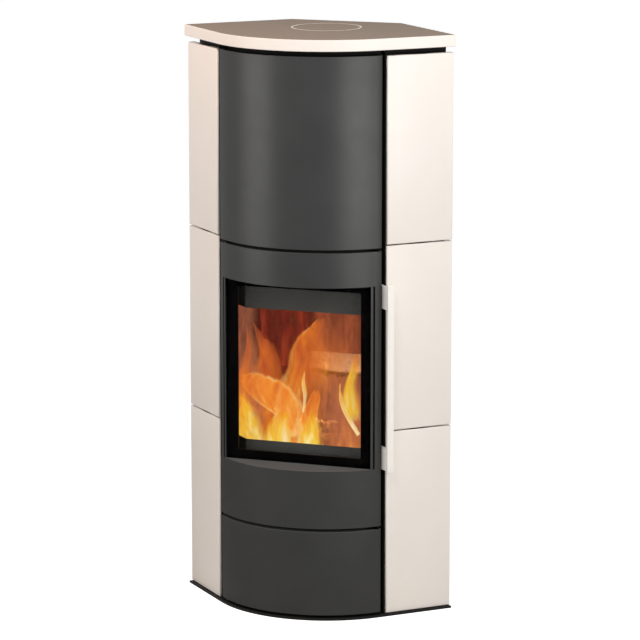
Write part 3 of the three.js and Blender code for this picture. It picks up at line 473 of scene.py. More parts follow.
def printed(name):
    """The glass border: black ceramic print with tiny pinholes."""
    look = Look(name)
    grain = look.noise(scale=1800.0, detail=2.0)
    holes = look.fit(grain, (0.72, 0.78))
    look.put("Base Color", look.blend(holes, srgb(7, 6, 9), srgb(26, 24, 26)))
    look.put("Roughness", look.fit(look.noise(scale=80.0), MIDDLE, (0.35, 0.5)))
    look.put("Specular IOR Level", 0.0)
    look.bump(grain, depth=0.01, strength=0.5)
    return look.material


def flame(name, colours, cover, heats=FLAME_HEATS, rim=0.0, tip_fade=0.75, soft=0.4, foot_fade=0.03,
          one_sided=False):
    """Burning gas on a strip: streaked, hottest at its foot, ragged at its sides and thin towards its tip.

    The strip's map runs from -1 to 1 across it and from 0 to 1 along it. The colours go from cool to hot.
    Cover is how much the flame hides, soft the width of its faded sides, and the fades say where it ends.
    A rim above zero draws a hot outline along its sides. A strip that is one-sided keeps only its left
    edge and outline, and fades away to the right.
    """
    look = Look(name, roughness=1.0)
    flow = look.add("ShaderNodeUVMap", uv_map="flow").outputs["UV"]
    parts = look.add("ShaderNodeSeparateXYZ", {"Vector": flow})
    across, along = parts.outputs["X"], parts.outputs["Y"]
    side = look.math("ABSOLUTE", across)
    streak = look.noise(scale=34.0, detail=4.0, place=look.stretch(1.0, 1.0, 0.28), distortion=1.6)
    wisp = look.noise(scale=13.0, place=look.stretch(1.0, 1.0, 0.4), distortion=1.1)

    heat = look.math("SUBTRACT", FOOT_HEAT, look.math("MULTIPLY", along, HEAT_LOSS))
    heat = look.math("ADD", heat, look.fit(streak, MIDDLE, (-0.26, 0.26)))
    heat = look.math("ADD", heat, look.fit(wisp, (0.35, 0.65), (-0.16, 0.16)))
    if rim:
        rim_side = look.math("MULTIPLY", across, -1.0) if one_sided else side
        outline = look.math("SUBTRACT", look.fit(rim_side, (0.70, 0.86)), look.fit(rim_side, (0.92, 1.0)))
        heat = look.math("ADD", heat, look.math("MULTIPLY", outline, rim))

    ragged_side = look.math("ADD", side, look.fit(streak, MIDDLE, (-0.13, 0.13)))
    ragged_tip = look.math("ADD", along, look.fit(streak, MIDDLE, (-0.1, 0.1)))
    edge = look.fit(ragged_side, (1.0 - soft, 1.0), FALLING)
    if one_sided:
        edge = look.math("MULTIPLY", edge, look.fit(across, (-0.3, 0.85), FALLING))
    tip = look.fit(ragged_tip, (tip_fade, 1.0), FALLING)
    foot = look.fit(along, (0.0, foot_fade))
    body = look.fit(wisp, (0.30, 0.60), (cover * 0.6, cover))
    shape = look.math("MULTIPLY", look.math("MULTIPLY", body, edge), look.math("MULTIPLY", tip, foot))

    look.put("Base Color", BLACK)
    look.put("Specular IOR Level", 0.0)
    look.put("Emission Color", look.ramp(heat, stops(heats, *colours)))
    look.put("Emission Strength", 1.0)
    look.put("Alpha", shape)
    return look.material


def charred(name):
    """Burning wood: fibrous dark bark, ash on its upper side and thin glowing cracks."""
    look = Look(name, roughness=0.9)
    bark = look.noise(scale=90.0, detail=6.0, place=look.stretch(0.25, 1.0, 1.0), distortion=0.8)
    wood = look.ramp(bark, stops((0.30, 0.52, 0.75), (20, 15, 13), (58, 40, 30), (112, 82, 60)))
    upper = look.fit(look.facing_up(), (0.3, 0.9))
    ash = look.math("MULTIPLY", upper, look.fit(look.noise(scale=70.0), (0.45, 0.65)))
    look.put("Base Color", look.blend(ash, wood, srgb(150, 138, 128)))
    seams = look.cells(scale=60.0, feature="DISTANCE_TO_EDGE", place=look.stretch(0.3, 1.2, 1.2))
    crack = look.fit(seams, (0.0, 0.05), FALLING)
    glow = stops((0.0, 0.6, 1.0), (170, 44, 10), (250, 120, 26), (255, 205, 110))
    lit = look.fit(look.noise(scale=20.0), (0.48, 0.62))
    look.put("Emission Color", look.ramp(crack, glow))
    look.put("Emission Strength", look.math("MULTIPLY", crack, lit))
    look.bump(bark, depth=5.0, strength=0.8)
    return look.material


def embers(name):
    """The bed of coals: grey ash, dark lumps and glowing spots."""
    look = Look(name, roughness=1.0)
    lumps = look.cells(scale=70.0)
    glow = look.fit(look.noise(scale=38.0), (0.50, 0.64))
    ash = stops((0.1, 0.5, 0.9), (38, 32, 30), (110, 102, 96), (150, 142, 136))
    look.put("Base Color", look.ramp(lumps, ash))
    look.put("Emission Color", look.ramp(glow, stops(RISING, (200, 52, 10), (255, 190, 70))))
    look.put("Emission Strength", look.math("MULTIPLY", glow, 1.7))
    look.bump(lumps, depth=3.0, strength=0.8)
    return look.material


looks = {
    # The colours given for level faces are painted shade: dark brown in the tile joints, taupe on the top
    # plate.
    "tile": glaze("ivory_tile_glaze", *IVORY, level_shade=srgb(92, 76, 64), level_roughness=0.9),
    "top": glaze("ivory_top_glaze", *IVORY, level_shade=srgb(129, 114, 100), level_roughness=0.75),
    # The graphite paint takes painted light on its upward faces and painted shade on its downward ones.
    "graphite": paint("graphite_stove_paint", srgb(67, 68, 68), srgb(62, 63, 63), 0.36, 0.6, painted_facing_light=True),
    "inner_graphite": paint("graphite_inner_paint", srgb(70, 73, 74), srgb(64, 66, 68), 0.6, 0.1),
    "black": paint("black_sheet_paint", srgb(20, 20, 19), srgb(26, 25, 24), 0.6, 0.1),
    "rear": paint("rear_sheet_paint", srgb(42, 42, 41), srgb(48, 47, 46), 0.5, 0.2),
    "enamel": enamel("ivory_handle_enamel", srgb(255, 253, 247), srgb(253, 250, 242)),
    "bright": metal("zinc_plated_steel", srgb(186, 187, 188), srgb(142, 143, 145)),
    "cast": cast("cast_iron_skin"),
    "scaled": scaled("firelit_pale_steel"),
    "board": board("sooty_fireboard"),
    "stone": stone("heat_store_concrete"),
    "rope": rope("braided_seal_rope"),
    "glass": clear_glass("ceramic_window_glass"),
    "print": printed("black_window_print"),
    "char": charred("burning_log"),
    "embers": embers("ember_bed"),
}

# ----------------------------------------------------------------------------------------------------
# Meshes
# ----------------------------------------------------------------------------------------------------

def metres(x, y, z):
    """A point of the corner's plan in millimetres, as a point of the frame in metres."""
    return Vector((x, y + PLAN_Y, z)) * MM


def make(name, builder, look, body):
    """A new object around a bmesh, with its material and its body."""
    mesh = bpy.data.meshes.new(name)
    builder.to_mesh(mesh)
    builder.free()
    mesh.materials.append(looks[look] if isinstance(look, str) else look)
    for polygon in mesh.polygons:
        polygon.use_smooth = True
    piece = bpy.data.objects.new(name, mesh)
    bpy.context.scene.collection.objects.link(piece)
    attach(piece, body)
    return piece


def soften(piece, edge, segments):
    """Rounded edges and normals that keep the flat faces flat."""
    bevel = piece.modifiers.new("rounded_edges", "BEVEL")
    bevel.width = edge * MM
    bevel.segments = segments
    bevel.limit_method = "ANGLE"
    bevel.angle_limit = math.radians(CREASE)
    bevel.use_clamp_overlap = True
    weighted = piece.modifiers.new("flat_faces", "WEIGHTED_NORMAL")
    weighted.keep_sharp = True
    weighted.weight = FLAT_FACE_WEIGHT


def body_of(node):
    """The body that a node rides on."""
    carrier = nodes[node]
    while carrier.parent is not None and "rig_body" not in carrier:
        carrier = carrier.parent
    return carrier["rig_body"]


def dress(node, look, edge, segments=EDGE_SEGMENTS):
    """A copy of a node with welded points, merged flat faces and, where edge isn't zero, rounded edges."""
    builder = bmesh.new()
    builder.from_mesh(nodes[node].data)
    bmesh.ops.remove_doubles(builder, verts=builder.verts, dist=WELD * MM)
    bmesh.ops.dissolve_limit(
        builder,
        angle_limit=math.radians(FLAT),
        verts=builder.verts,
        edges=builder.edges,
    )
    bmesh.ops.recalc_face_normals(builder, faces=builder.faces)
    piece = make(f"{node}_finished", builder, look, body_of(node))
    if edge:
        soften(piece, edge, segments)
    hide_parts(node)


def bridge(builder, first, second):
    """Adds faces between two closed rings with the same number of points."""
    for index in range(len(first)):
        after = (index + 1) % len(first)
        builder.faces.new((first[index], first[after], second[after], second[index]))


def grid_cells(grid):
    """The corners of each cell of a grid of points, as pairs of row and column."""
    for row in range(len(grid) - 1):
        for column in range(len(grid[0]) - 1):
            yield (row, column), (row, column + 1), (row + 1, column + 1), (row + 1, column)


def net(builder, grid):
    """Adds one face for each cell of a grid of points."""
    for corners in grid_cells(grid):
        builder.faces.new([grid[row][column] for row, column in corners])


def tube(builder, path, radii, steps, closed=False):
    """Adds a tube along a path of points in metres; radii gives one pair across and up for each point."""
    almost_along = 0.1
    count = len(path)
    rings = []
    for index, point in enumerate(path):
        ahead = path[(index + 1) % count] if closed or index + 1 < count else point
        behind = path[index - 1] if closed or index > 0 else point
        forward = (ahead - behind).normalized()
        side = forward.cross(BACKWARD)
        if side.length < almost_along:
            side = forward.cross(UPWARD)
        side.normalize()
        lift = side.cross(forward).normalized()
        wide, high = radii[index]
        ring = []
        for step in range(steps):
            angle = 2 * math.pi * step / steps
            offset = side * (wide * math.cos(angle)) + lift * (high * math.sin(angle))
            ring.append(builder.verts.new(point + offset))
        rings.append(ring)
    for first, second in zip(rings, rings[1:]):
        bridge(builder, first, second)
    if closed:
        bridge(builder, rings[-1], rings[0])
    else:
        builder.faces.new(list(reversed(rings[0])))
        builder.faces.new(rings[-1])


def rounded_rectangle(half, low, high, radius, steps):
    """Points (x, z) round a rectangle with round corners, anticlockwise from the lower right."""
    corners = (
        (half - radius, low + radius, -90),
        (half - radius, high - radius, 0),
        (radius - half, high - radius, 90),
        (radius - half, low + radius, 180),
    )
    points = []
    for x, z, start in corners:
        for step in range(steps + 1):
            angle = math.radians(start + 90 * step / steps)
            points.append((x + radius * math.cos(angle), z + radius * math.sin(angle)))
    return points


def curve_value(a, b, c, d, t):
    """A value from b to c, as t goes from 0 to 1, on the smooth curve through all four."""
    square = (2 * a - 5 * b + 4 * c - d) * t * t
    cube = (3 * b - a - 3 * c + d) * t ** 3
    return 0.5 * (2 * b + (c - a) * t + square + cube)


def smooth_path(points, count):
    """Points on a smooth curve through the given ones, each a list of numbers."""
    result = []
    spans = len(points) - 1
    for index in range(count + 1):
        place = index / count * spans
        start = min(int(place), spans - 1)
        nearby = [points[min(max(start + step, 0), spans)] for step in (-1, 0, 1, 2)]
        result.append([curve_value(*values, place - start) for values in zip(*nearby)])
    return result


# ----------------------------------------------------------------------------------------------------
# Body, tiles and doors: finished copies of the nodes
# ----------------------------------------------------------------------------------------------------

for side in ("left", "right"):
    for row in (1, 2, 3):
        dress(f"tile_{side}_{row}", "tile", edge=0)
    dress(f"tile_carrier_{side}", "black", SHEET_EDGE)
    dress(f"side_panel_{side}", "black", FOLD_EDGE)
    dress(f"rear_panel_{side}", "rear", FOLD_EDGE)
    dress(f"glass_retainer_{side}", "graphite", FOLD_EDGE)
    dress(f"side_lining_{side}", "board", BOARD_EDGE)
    dress(f"rear_lining_{side}", "board", BOARD_EDGE)
dress("top_plate", "top", TOP_EDGE)
dress("flue_cover", "top", TOP_EDGE)
dress("handle_bar", "enamel", SMALL_EDGE)
for level in ("upper", "lower"):
    dress(f"handle_bracket_{level}", "enamel", PLATE_EDGE, FINE_SEGMENTS)
    dress(f"catch_roller_{level}", "bright", SMALL_EDGE)
    dress(f"door_pivot_{level}", "bright", SMALL_EDGE)
    dress(f"lower_door_pivot_{level}", "bright", SMALL_EDGE)
for panel in ("upper_panel", "door_skin", "lower_door_panel"):
    dress(panel, "graphite", SHEET_EDGE, FINE_SEGMENTS)
dress("rear_panel_back", "rear", FOLD_EDGE)
for sheet in ("roof_sheet", "lower_floor", "upper_floor", "firebox_shell", "firebox_front",
              "firebox_ceiling", "hearth_plate", "door_frame", "lower_door_liner", "air_duct"):
    dress(sheet, "black", FOLD_EDGE)
dress("base_plate", "black", PLATE_EDGE)
dress("air_slider", "bright", SMALL_EDGE)
dress("ash_pan", "bright", FOLD_EDGE)
dress("flue_collar", "bright", FOLD_EDGE)
dress("magnet_catch", "cast", PLATE_EDGE)
dress("grate", "cast", BOARD_EDGE)
for sheet in ("log_guard", "air_deflector"):
    dress(sheet, "inner_graphite", SMALL_EDGE)
# The air bar's pale colour is painted light from the fire.
dress("air_bar", "scaled", SMALL_EDGE)
for slab in ("back_lining", "hearth_stone", "baffle"):
    dress(slab, "board", BOARD_EDGE)
for block in ("store_block_1", "store_block_2"):
    dress(block, "stone", BLOCK_EDGE)
dress("door_glass", "glass", GLASS_EDGE)

# ----------------------------------------------------------------------------------------------------
# Window print and rope seal
# ----------------------------------------------------------------------------------------------------

def window_print():
    """The black border printed round the clear window: a thin ring with round corners."""
    builder = bmesh.new()
    loops = []
    for y in (PRINT_FRONT, PRINT_BACK):
        for outline in (PRINT_OUTER, PRINT_INNER):
            points = rounded_rectangle(*outline, PRINT_CORNER, PRINT_CORNER_STEPS)
            loops.append([builder.verts.new(metres(x, y, z)) for x, z in points])
    outer_front, inner_front, outer_back, inner_back = loops
    bridge(builder, outer_front, inner_front)
    bridge(builder, inner_front, inner_back)
    bridge(builder, inner_back, outer_back)
    bridge(builder, outer_back, outer_front)
    bmesh.ops.recalc_face_normals(builder, faces=builder.faces)
    piece = make("window_print", builder, "print", "firebox_door")
    soften(piece, PRINT_EDGE, segments=1)


def rope_seal():
    """Rope laid round the door frame, whose surface swells and shrinks with its braid."""
    builder = bmesh.new()
    middle = (SEAL_Y[0] + SEAL_Y[1]) / 2
    outline = rounded_rectangle(SEAL_HALF, *SEAL_Z, SEAL_CORNER, SEAL_CORNER_STEPS)
    corners = [metres(x, middle, z) for x, z in outline]
    path = []
    for index, point in enumerate(corners):
        after = corners[(index + 1) % len(corners)]
        count = max(1, round((after - point).length / (SEAL_RING_GAP * MM)))
        path.extend(point.lerp(after, step / count) for step in range(count))
    radii = []
    for index in range(len(path)):
        swell = 1 - SEAL_SWELL + SEAL_SWELL * math.sin(index * SEAL_TWIST)
        radii.append((SEAL_RADIUS * swell * MM, (SEAL_Y[1] - SEAL_Y[0]) / 2 * swell * MM))
    tube(builder, path, radii, SEAL_STEPS, closed=True)
    bmesh.ops.recalc_face_normals(builder, faces=builder.faces)
    piece = make("door_seal_rope", builder, "rope", "firebox_door")
    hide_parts("door_seal")


window_print()
rope_seal()

# ----------------------------------------------------------------------------------------------------
# Fire
# ----------------------------------------------------------------------------------------------------

def ember_bed():
    """A low heap of coals and ash on the hearth, closed underneath."""
    builder = bmesh.new()
    grid = []
    for row in range(EMBER_ROWS + 1):
        line = []
        for column in range(EMBER_COLUMNS + 1):
            s, t = column / EMBER_COLUMNS, row / EMBER_ROWS
            x = EMBER_X[0] + (EMBER_X[1] - EMBER_X[0]) * s
            y = EMBER_Y[0] + (EMBER_Y[1] - EMBER_Y[0]) * t
            rim = min(1.0, EMBER_SLOPE * min(s, 1 - s), EMBER_SLOPE * min(t, 1 - t))
            coarse = noise.noise(Vector((x, y, 0)) / COARSE_LUMP)
            fine = noise.noise(Vector((x, y, FINE_LUMP_LEVEL)) / FINE_LUMP)
            lumps = max(0.5 + 0.5 * coarse + 0.3 * fine, 0)
            height = HEARTH_TOP + EMBER_RIM + rim * (EMBER_HEAP + EMBER_LUMP * lumps)
            line.append(builder.verts.new(metres(x, y, height)))
        grid.append(line)
    net(builder, grid)
    front, back = grid[0], grid[-1][-2::-1]
    right = [line[-1] for line in grid[1:]]
    left = [line[0] for line in grid[-2:0:-1]]
    border = front + right + back + left
    bottom = (HEARTH_TOP + EMBER_BOTTOM) * MM
    floor = [builder.verts.new((vert.co.x, vert.co.y, bottom)) for vert in border]
    bridge(builder, floor, border)
    builder.faces.new(list(reversed(floor)))
    bmesh.ops.recalc_face_normals(builder, faces=builder.faces)
    make("ember_bed", builder, "embers", "stove_body")


def log(name, start, end, radius, seed):
    """A burning log: a bent tube that narrows at its ends, with ridges and splinters."""
    builder = bmesh.new()
    first, last = metres(*start), metres(*end)
    path, radii = [], []
    for index in range(LOG_RINGS + 1):
        t = index / LOG_RINGS
        bow = Vector((0, 0, math.sin(t * math.pi) * LOG_BOW * MM))
        path.append(first.lerp(last, t) + bow)
        taper = min(1.0, LOG_END + LOG_END_SLOPE * min(t, 1 - t))
        radii.append((radius * taper * MM, radius * LOG_FLATNESS * taper * MM))
    tube(builder, path, radii, LOG_STEPS)
    axis = (last - first).normalized()
    for vert in builder.verts:
        centre = first + axis * (vert.co - first).dot(axis)
        place = vert.co * RIDGES_PER_METRE + Vector((seed, 0, 0))
        ridge = RIDGE_SHARE * noise.noise(place)
        splinter = SPLINTER_SHARE * noise.noise(place * SPLINTERS_PER_RIDGE)
        vert.co += (vert.co - centre) * (ridge + splinter)
    bmesh.ops.recalc_face_normals(builder, faces=builder.faces)
    make(name, builder, "char", "stove_body")


def flame_strip(name, look, depth, spine):
    """A strip of flame: spine lists (x, z, half width); the strip bulges to the front and its rims ripple."""
    builder = bmesh.new()
    flow = builder.loops.layers.uv.new("flow")
    rows = smooth_path(spine, FLAME_ROWS)
    grid = []
    for row, (x, z, half) in enumerate(rows):
        before, after = rows[max(row - 1, 0)], rows[min(row + 1, FLAME_ROWS)]
        lean = Vector((after[0] - before[0], after[1] - before[1])).normalized()
        line = []
        for column in range(FLAME_COLUMNS + 1):
            across = 2 * column / FLAME_COLUMNS - 1
            reach = across * max(half, FLAME_LEAST_HALF)
            wave = noise.noise(Vector((across * RIPPLES_ACROSS, z / RIPPLE_HEIGHT, depth)))
            shift = wave * FLAME_RIPPLE * row / FLAME_ROWS
            y = depth - FLAME_BULGE * (1 - across * across) + shift
            line.append(builder.verts.new(metres(x + reach * lean.y + shift, y, z - reach * lean.x)))
        grid.append(line)
    for corners in grid_cells(grid):
        face = builder.faces.new([grid[r][c] for r, c in corners])
        for loop, (r, c) in zip(face.loops, corners):
            loop[flow].uv = (2 * c / FLAME_COLUMNS - 1, r / FLAME_ROWS)
    make(name, builder, look, "stove_body")


flames = {
    "brick": flame(
        "flame_brick",
        ((104, 50, 38), (142, 74, 50), (168, 88, 56), (196, 104, 60)),
        cover=0.94,
        tip_fade=0.97,
    ),
    "mauve": flame(
        "flame_mauve",
        ((124, 74, 62), (170, 98, 70), (206, 118, 72), (230, 146, 88)),
        cover=0.9,
        tip_fade=0.97,
    ),
    "veil": flame(
        "flame_veil",
        ((138, 82, 66), (176, 102, 72), (208, 122, 72), (232, 150, 84)),
        cover=0.88,
        tip_fade=0.55,
        soft=0.75,
    ),
    "red": flame(
        "flame_red",
        ((92, 34, 26), (128, 46, 32), (164, 64, 38), (200, 88, 46)),
        cover=0.85,
        tip_fade=0.97,
    ),
    "warm": flame(
        "flame_warm",
        ((190, 90, 56), (224, 112, 50), (243, 136, 48), (252, 176, 76)),
        cover=0.8,
        heats=(0.0, 0.35, 0.7, 1.0),
    ),
    "thin": flame(
        "flame_thin",
        ((190, 90, 56), (226, 116, 52), (244, 140, 52), (252, 176, 76)),
        cover=0.55,
        heats=(0.0, 0.35, 0.7, 1.0),
        tip_fade=0.5,
        soft=0.8,
        foot_fade=0.3,
    ),
    # Not burning gas: a glowing strip over the air bar, a painted sheen of the firelight on it.
    "shine": flame(
        "bar_sheen_painted_light",
        ((184, 118, 82), (202, 140, 98), (218, 160, 112), (238, 188, 134)),
        cover=0.85,
        tip_fade=0.93,
        soft=0.5,
        foot_fade=0.08,
    ),
    "sheet": flame(
        "flame_sheet",
        ((206, 98, 50), (234, 122, 48), (248, 150, 56), (255, 200, 118)),
        cover=0.8,
        rim=0.5,
        tip_fade=0.9,
        soft=0.16,
        one_sided=True,
    ),
    "rimmed": flame(
        "flame_rimmed",
        ((214, 104, 48), (240, 130, 48), (250, 156, 62), (255, 200, 118)),
        cover=0.88,
        rim=0.4,
        tip_fade=0.9,
        soft=0.2,
    ),
    "hot": flame(
        "flame_hot",
        ((228, 116, 40), (242, 160, 44), (248, 204, 70), (255, 242, 166)),
        cover=0.93,
        heats=(0.0, 0.3, 0.65, 1.0),
        foot_fade=0.12,
    ),
    "bright": flame(
        "flame_bright",
        ((242, 160, 62), (250, 196, 100), (255, 236, 186)),
        cover=0.97,
        heats=(0.0, 0.4, 1.0),
        rim=0.3,
        tip_fade=0.85,
        soft=0.3,
    ),
}

# Each log: name, start, end, radius and the seed of its bark.
LOGS = (
    ("log_left", (-128, -10, 368), (6, -60, 372), 17, 1.0),
    ("log_right", (122, 6, 368), (10, -44, 370), 18, 5.0),
    ("log_top", (-70, -36, 398), (84, 0, 394), 16, 9.0),
)

# Each strip: name, flame, depth behind the corner's centre, spine of (x, z, half width) from foot to tip.
FIRE = (
    ("haze_high", "brick", 30, ((20, 572, 80), (20, 640, 80), (20, 740, 80))),
    ("haze_low", "mauve", 30, ((18, 352, 80), (18, 431, 80), (20, 520, 78))),
    ("haze_dark", "red", -12, ((-88, 352, 90), (-88, 500, 90), (-88, 740, 88))),
    ("haze_left", "mauve", -50, ((-172, 352, 46), (-174, 480, 42), (-182, 580, 32), (-186, 740, 30))),
    ("streak_left", "red", -22, ((-142, 500, 13), (-142, 577, 11), (-146, 640, 9), (-148, 740, 6))),
    ("streak_middle", "red", -18, ((-92, 541, 14), (-92, 594, 12), (-94, 640, 10), (-96, 740, 8))),
    ("streak_right", "red", -16, ((-60, 560, 12), (-58, 607, 10), (-56, 660, 8), (-54, 740, 6))),
    ("curtain_left", "warm", -26, ((-131, 352, 61), (-136, 427, 55), (-140, 499, 45), (-136, 553, 30),
                                   (-146, 591, 18), (-166, 640, 2))),
    ("horn_left", "warm", -54, ((-178, 378, 28), (-182, 475, 23), (-180, 543, 17), (-172, 587, 10),
                                (-176, 642, 2))),
    # A glowing strip over the air bar: a painted sheen of the firelight on it.
    ("painted_bar_sheen", "shine", 33, ((45, 525, 74), (45, 548, 74), (45, 572, 74))),
    ("glow_bar", "thin", -30, ((-10, 470, 66), (4, 540, 62), (20, 590, 50), (24, 640, 34))),
    ("sheet_middle", "sheet", -44, ((-34, 352, 88), (-36, 427, 84), (-38, 480, 74), (-28, 530, 56),
                                    (-22, 570, 54), (-10, 612, 42), (10, 668, 8))),
    ("veil_back", "veil", -56, ((86, 346, 60), (84, 420, 58), (80, 500, 46), (76, 570, 30))),
    ("lobe_left", "rimmed", -62, ((-43, 384, 25), (-63, 440, 37), (-98, 471, 42), (-133, 490, 38),
                                  (-158, 503, 30), (-178, 509, 17), (-188, 510, 3))),
    ("low_middle", "hot", -76, ((-94, 354, 43), (-91, 396, 35), (-81, 428, 20), (-68, 451, 4))),
    ("low_left", "hot", -82, ((-156, 356, 43), (-161, 397, 38), (-168, 433, 28), (-177, 466, 8),
                              (-179, 482, 2))),
    ("low_centre", "rimmed", -88, ((-12, 354, 30), (-12, 405, 27), (-7, 449, 20), (5, 486, 13),
                                   (10, 509, 4))),
    ("low_yellow", "hot", -98, ((-4, 340, 34), (-4, 390, 30), (0, 430, 18), (4, 462, 4))),
    ("veil_front", "veil", -96, ((72, 336, 74), (72, 392, 72), (74, 440, 58), (78, 496, 40))),
    ("edge_right", "hot", -100, ((108, 440, 16), (97, 486, 22), (96, 527, 17), (107, 561, 10),
                                 (114, 600, 2))),
    ("edge_far", "hot", -102, ((138, 400, 14), (136, 450, 15), (134, 510, 13), (133, 570, 9), (132, 610, 3))),
    ("thread_right", "bright", -104, ((119, 408, 4), (97, 442, 5), (80, 474, 5), (73, 502, 4), (75, 528, 2))),
    ("thread_middle", "bright", -66, ((-30, 444, 4), (-27, 483, 5), (-32, 516, 4), (-27, 545, 2))),
    ("thread_low", "bright", -90, ((-66, 356, 4), (-71, 403, 5), (-68, 429, 2))),
)

ember_bed()
for name, start, end, radius, seed in LOGS:
    log(name, start, end, radius, seed)
for name, kind, depth, spine in FIRE:
    flame_strip(name, flames[kind], depth, spine)

# ----------------------------------------------------------------------------------------------------
# Screws
# ----------------------------------------------------------------------------------------------------

def slot_reach(step):
    """How far the cross slot reaches at one point of a ring: along its four arms, or between them."""
    return SLOT_ARM if step % ARM_STEPS in (0, 1, ARM_STEPS - 1) else SLOT_WAIST


def screw(builder, centre, outward):
    """Adds a pan-head screw with a cross slot: a dome of rings around a pressed-in cross."""
    side = outward.cross(UPWARD).normalized()
    up = outward.cross(side)

    def ring(level, reaches):
        points = []
        for step, reach in enumerate(reaches):
            angle = 2 * math.pi * step / SCREW_STEPS
            offset = (side * math.cos(angle) + up * math.sin(angle)) * SCREW_RADIUS * reach
            points.append(builder.verts.new(centre + (offset + outward * SCREW_HEIGHT * level) * MM))
        return points

    slot = [slot_reach(step) for step in range(SCREW_STEPS)]
    rings = [ring(level, [share] * SCREW_STEPS) for level, share in HEAD_PROFILE]
    rings.append(ring(SLOT_MOUTH_LEVEL, slot))
    rings.append(ring(SLOT_FLOOR_LEVEL, [SLOT_FLOOR_SHARE * reach for reach in slot]))
    for first, second in zip(rings, rings[1:]):
        bridge(builder, first, second)
    builder.faces.new(rings[-1])
    builder.faces.new(list(reversed(rings[0])))


def rear_screws(node, outward):
    """Two rows of screws on the outer face of a rear panel, which looks outward."""
    outward = Vector(outward).normalized()
    across = outward.cross(UPWARD)
    corners = [nodes[node].matrix_world @ vert.co for vert in nodes[node].data.vertices]
    face = max(corner.dot(outward) for corner in corners)
    outer = [corner for corner in corners if face - corner.dot(outward) < FACE_TOLERANCE * MM]
    ends = [corner.dot(across) for corner in outer]
    builder = bmesh.new()
    for place in (min(ends) + SCREW_INSET * MM, max(ends) - SCREW_INSET * MM):
        for level in SCREW_LEVELS:
            screw(builder, outward * face + across * place + UPWARD * (level * MM), outward)
    bmesh.ops.recalc_face_normals(builder, faces=builder.faces)
    make(f"{node}_screws", builder, "bright", body_of(node))


rear_screws("rear_panel_back", (0, 1, 0))
rear_screws("rear_panel_left", (-1, 1, 0))
rear_screws("rear_panel_right", (1, 1, 0))

# ----------------------------------------------------------------------------------------------------
# Floor, light and camera
# ----------------------------------------------------------------------------------------------------

def studio_floor():
    """A pale floor that shows white and keeps the shadow of the stove; gloss sees it white from afar."""
    builder = bmesh.new()
    marks = [FLOOR_REACH * (2 * step / FLOOR_CELLS - 1) for step in range(FLOOR_CELLS + 1)]
    net(builder, [[builder.verts.new((x, y, 0)) for x in marks] for y in marks])
    mesh = bpy.data.meshes.new("studio_floor")
    builder.to_mesh(mesh)
    builder.free()
    floor = bpy.data.objects.new("studio_floor", mesh)
    bpy.context.scene.collection.objects.link(floor)
    look = Look("studio_floor_paint", roughness=0.9)
    cloud = look.fit(look.noise(scale=2.0), MIDDLE)
    look.put("Base Color", look.blend(cloud, srgb(238, 238, 237), srgb(234, 234, 233)))
    look.put("Specular IOR Level", 0.1)
    look.put("Emission Color", WHITE)
    path = look.add("ShaderNodeLightPath").outputs
    away = look.add("ShaderNodeVectorMath", {0: look.place}, operation="LENGTH").outputs["Value"]
    far = look.fit(away, GLOSS_RANGE, (0.0, FLOOR_TO_GLOSS))
    to_gloss = look.math("MULTIPLY", path["Is Glossy Ray"], far)
    to_camera = look.math("MULTIPLY", path["Is Camera Ray"], FLOOR_TO_CAMERA)
    look.put("Emission Strength", look.math("MAXIMUM", to_camera, to_gloss))
    mesh.materials.append(look.material)


def studio_world():
    """A soft grey surround that shows white to the camera, to gloss and to glass."""
    world = bpy.data.worlds.new("studio")
    bpy.context.scene.world = world
    world.use_nodes = True
    tree = world.node_tree
    path = tree.nodes.new("ShaderNodeLightPath").outputs
    seen = path["Is Camera Ray"]
    for ray in ("Is Glossy Ray", "Is Transmission Ray"):
        either = tree.nodes.new("ShaderNodeMath")
        either.operation = "MAXIMUM"
        tree.links.new(seen, either.inputs[0])
        tree.links.new(path[ray], either.inputs[1])
        seen = either.outputs["Value"]
    strength = tree.nodes.new("ShaderNodeMapRange")
    strength.inputs["To Min"].default_value = SURROUND
    strength.inputs["To Max"].default_value = 1.0
    tree.links.new(seen, strength.inputs["Value"])
    background = next(n for n in tree.nodes if n.type == "BACKGROUND")
    background.inputs["Color"].default_value = WHITE
    tree.links.new(strength.outputs["Result"], background.inputs["Strength"])


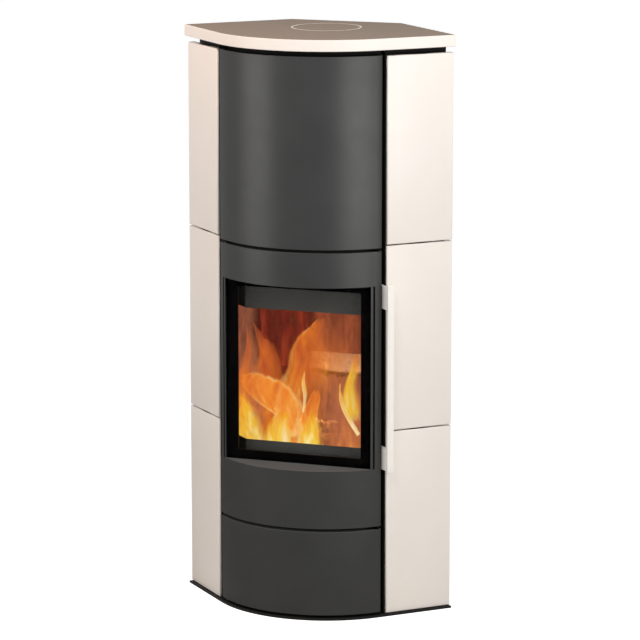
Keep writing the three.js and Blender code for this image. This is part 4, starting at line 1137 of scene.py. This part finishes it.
def softbox(name, place, target, width, height, power, colour):
    """A rectangular lamp that looks at a target; places are in metres."""
    light = bpy.data.lights.new(name, "AREA")
    light.shape = "RECTANGLE"
    light.size = width
    light.size_y = height
    light.energy = power
    light.color = colour
    lamp = bpy.data.objects.new(name, light)
    lamp.location = place
    aim = Vector(target) - Vector(place)
    lamp.rotation_euler = aim.to_track_quat("-Z", "Y").to_euler()
    bpy.context.scene.collection.objects.link(lamp)


def fire_light():
    """The light that the fire throws on the linings, the logs and the air bar."""
    light = bpy.data.lights.new("fire_light", "POINT")
    light.energy = FIRE_POWER
    light.color = FIRE_LIGHT
    light.shadow_soft_size = FIRE_RADIUS * MM
    lamp = bpy.data.objects.new("fire_light", light)
    lamp.location = metres(*FIRE_PLACE)
    lamp.visible_camera = False
    lamp.visible_glossy = False
    lamp.visible_transmission = False
    bpy.context.scene.collection.objects.link(lamp)


def around(azimuth, distance, height):
    """A place round the stove; azimuth is measured from the front towards the right."""
    angle = math.radians(azimuth)
    return (distance * math.sin(angle), -distance * math.cos(angle), height)


# Each lamp: name, place as azimuth, distance and height, target, width and height, power, colour. The
# azimuth is in degrees, lengths are in metres and the power is in watts.
LAMPS = (
    ("softbox_right", (58, 1.5, 2.5), (0.2, -0.1, 1.0), (0.6, 0.6), 18, PURE_LIGHT),
    ("strip_right", (52, 2.4, 0.9), (0, 0, 0.9), (1.4, 0.9), 15.5, NEAR_WHITE),
    ("softbox_left", (-50, 1.05, 2.3), (-0.2, -0.1, 1.2), (0.5, 0.5), 10.5, WARM_LIGHT),
    ("strip_left", (-52, 2.4, 0.9), (0, 0, 0.9), (1.3, 0.9), 10.5, NEAR_WHITE),
    ("softbox_front", (5, 2.3, 2.6), (0, 0, 1.0), (0.9, 0.9), 13, PURE_LIGHT),
)

studio_floor()
studio_world()
for name, place, target, size, power, colour in LAMPS:
    softbox(name, around(*place), target, *size, power, colour)
fire_light()

camera_data = bpy.data.cameras.new("photo_camera")
camera_data.lens = CAMERA_LENS
camera_data.clip_end = CAMERA_FAR
camera = bpy.data.objects.new("photo_camera", camera_data)
camera.location = CAMERA_PLACE
camera.rotation_euler = (math.radians(CAMERA_TILT), 0, math.radians(CAMERA_TURN))
bpy.context.scene.collection.objects.link(camera)
bpy.context.scene.camera = camera
bpy.context.scene.view_settings.view_transform = "Standard"
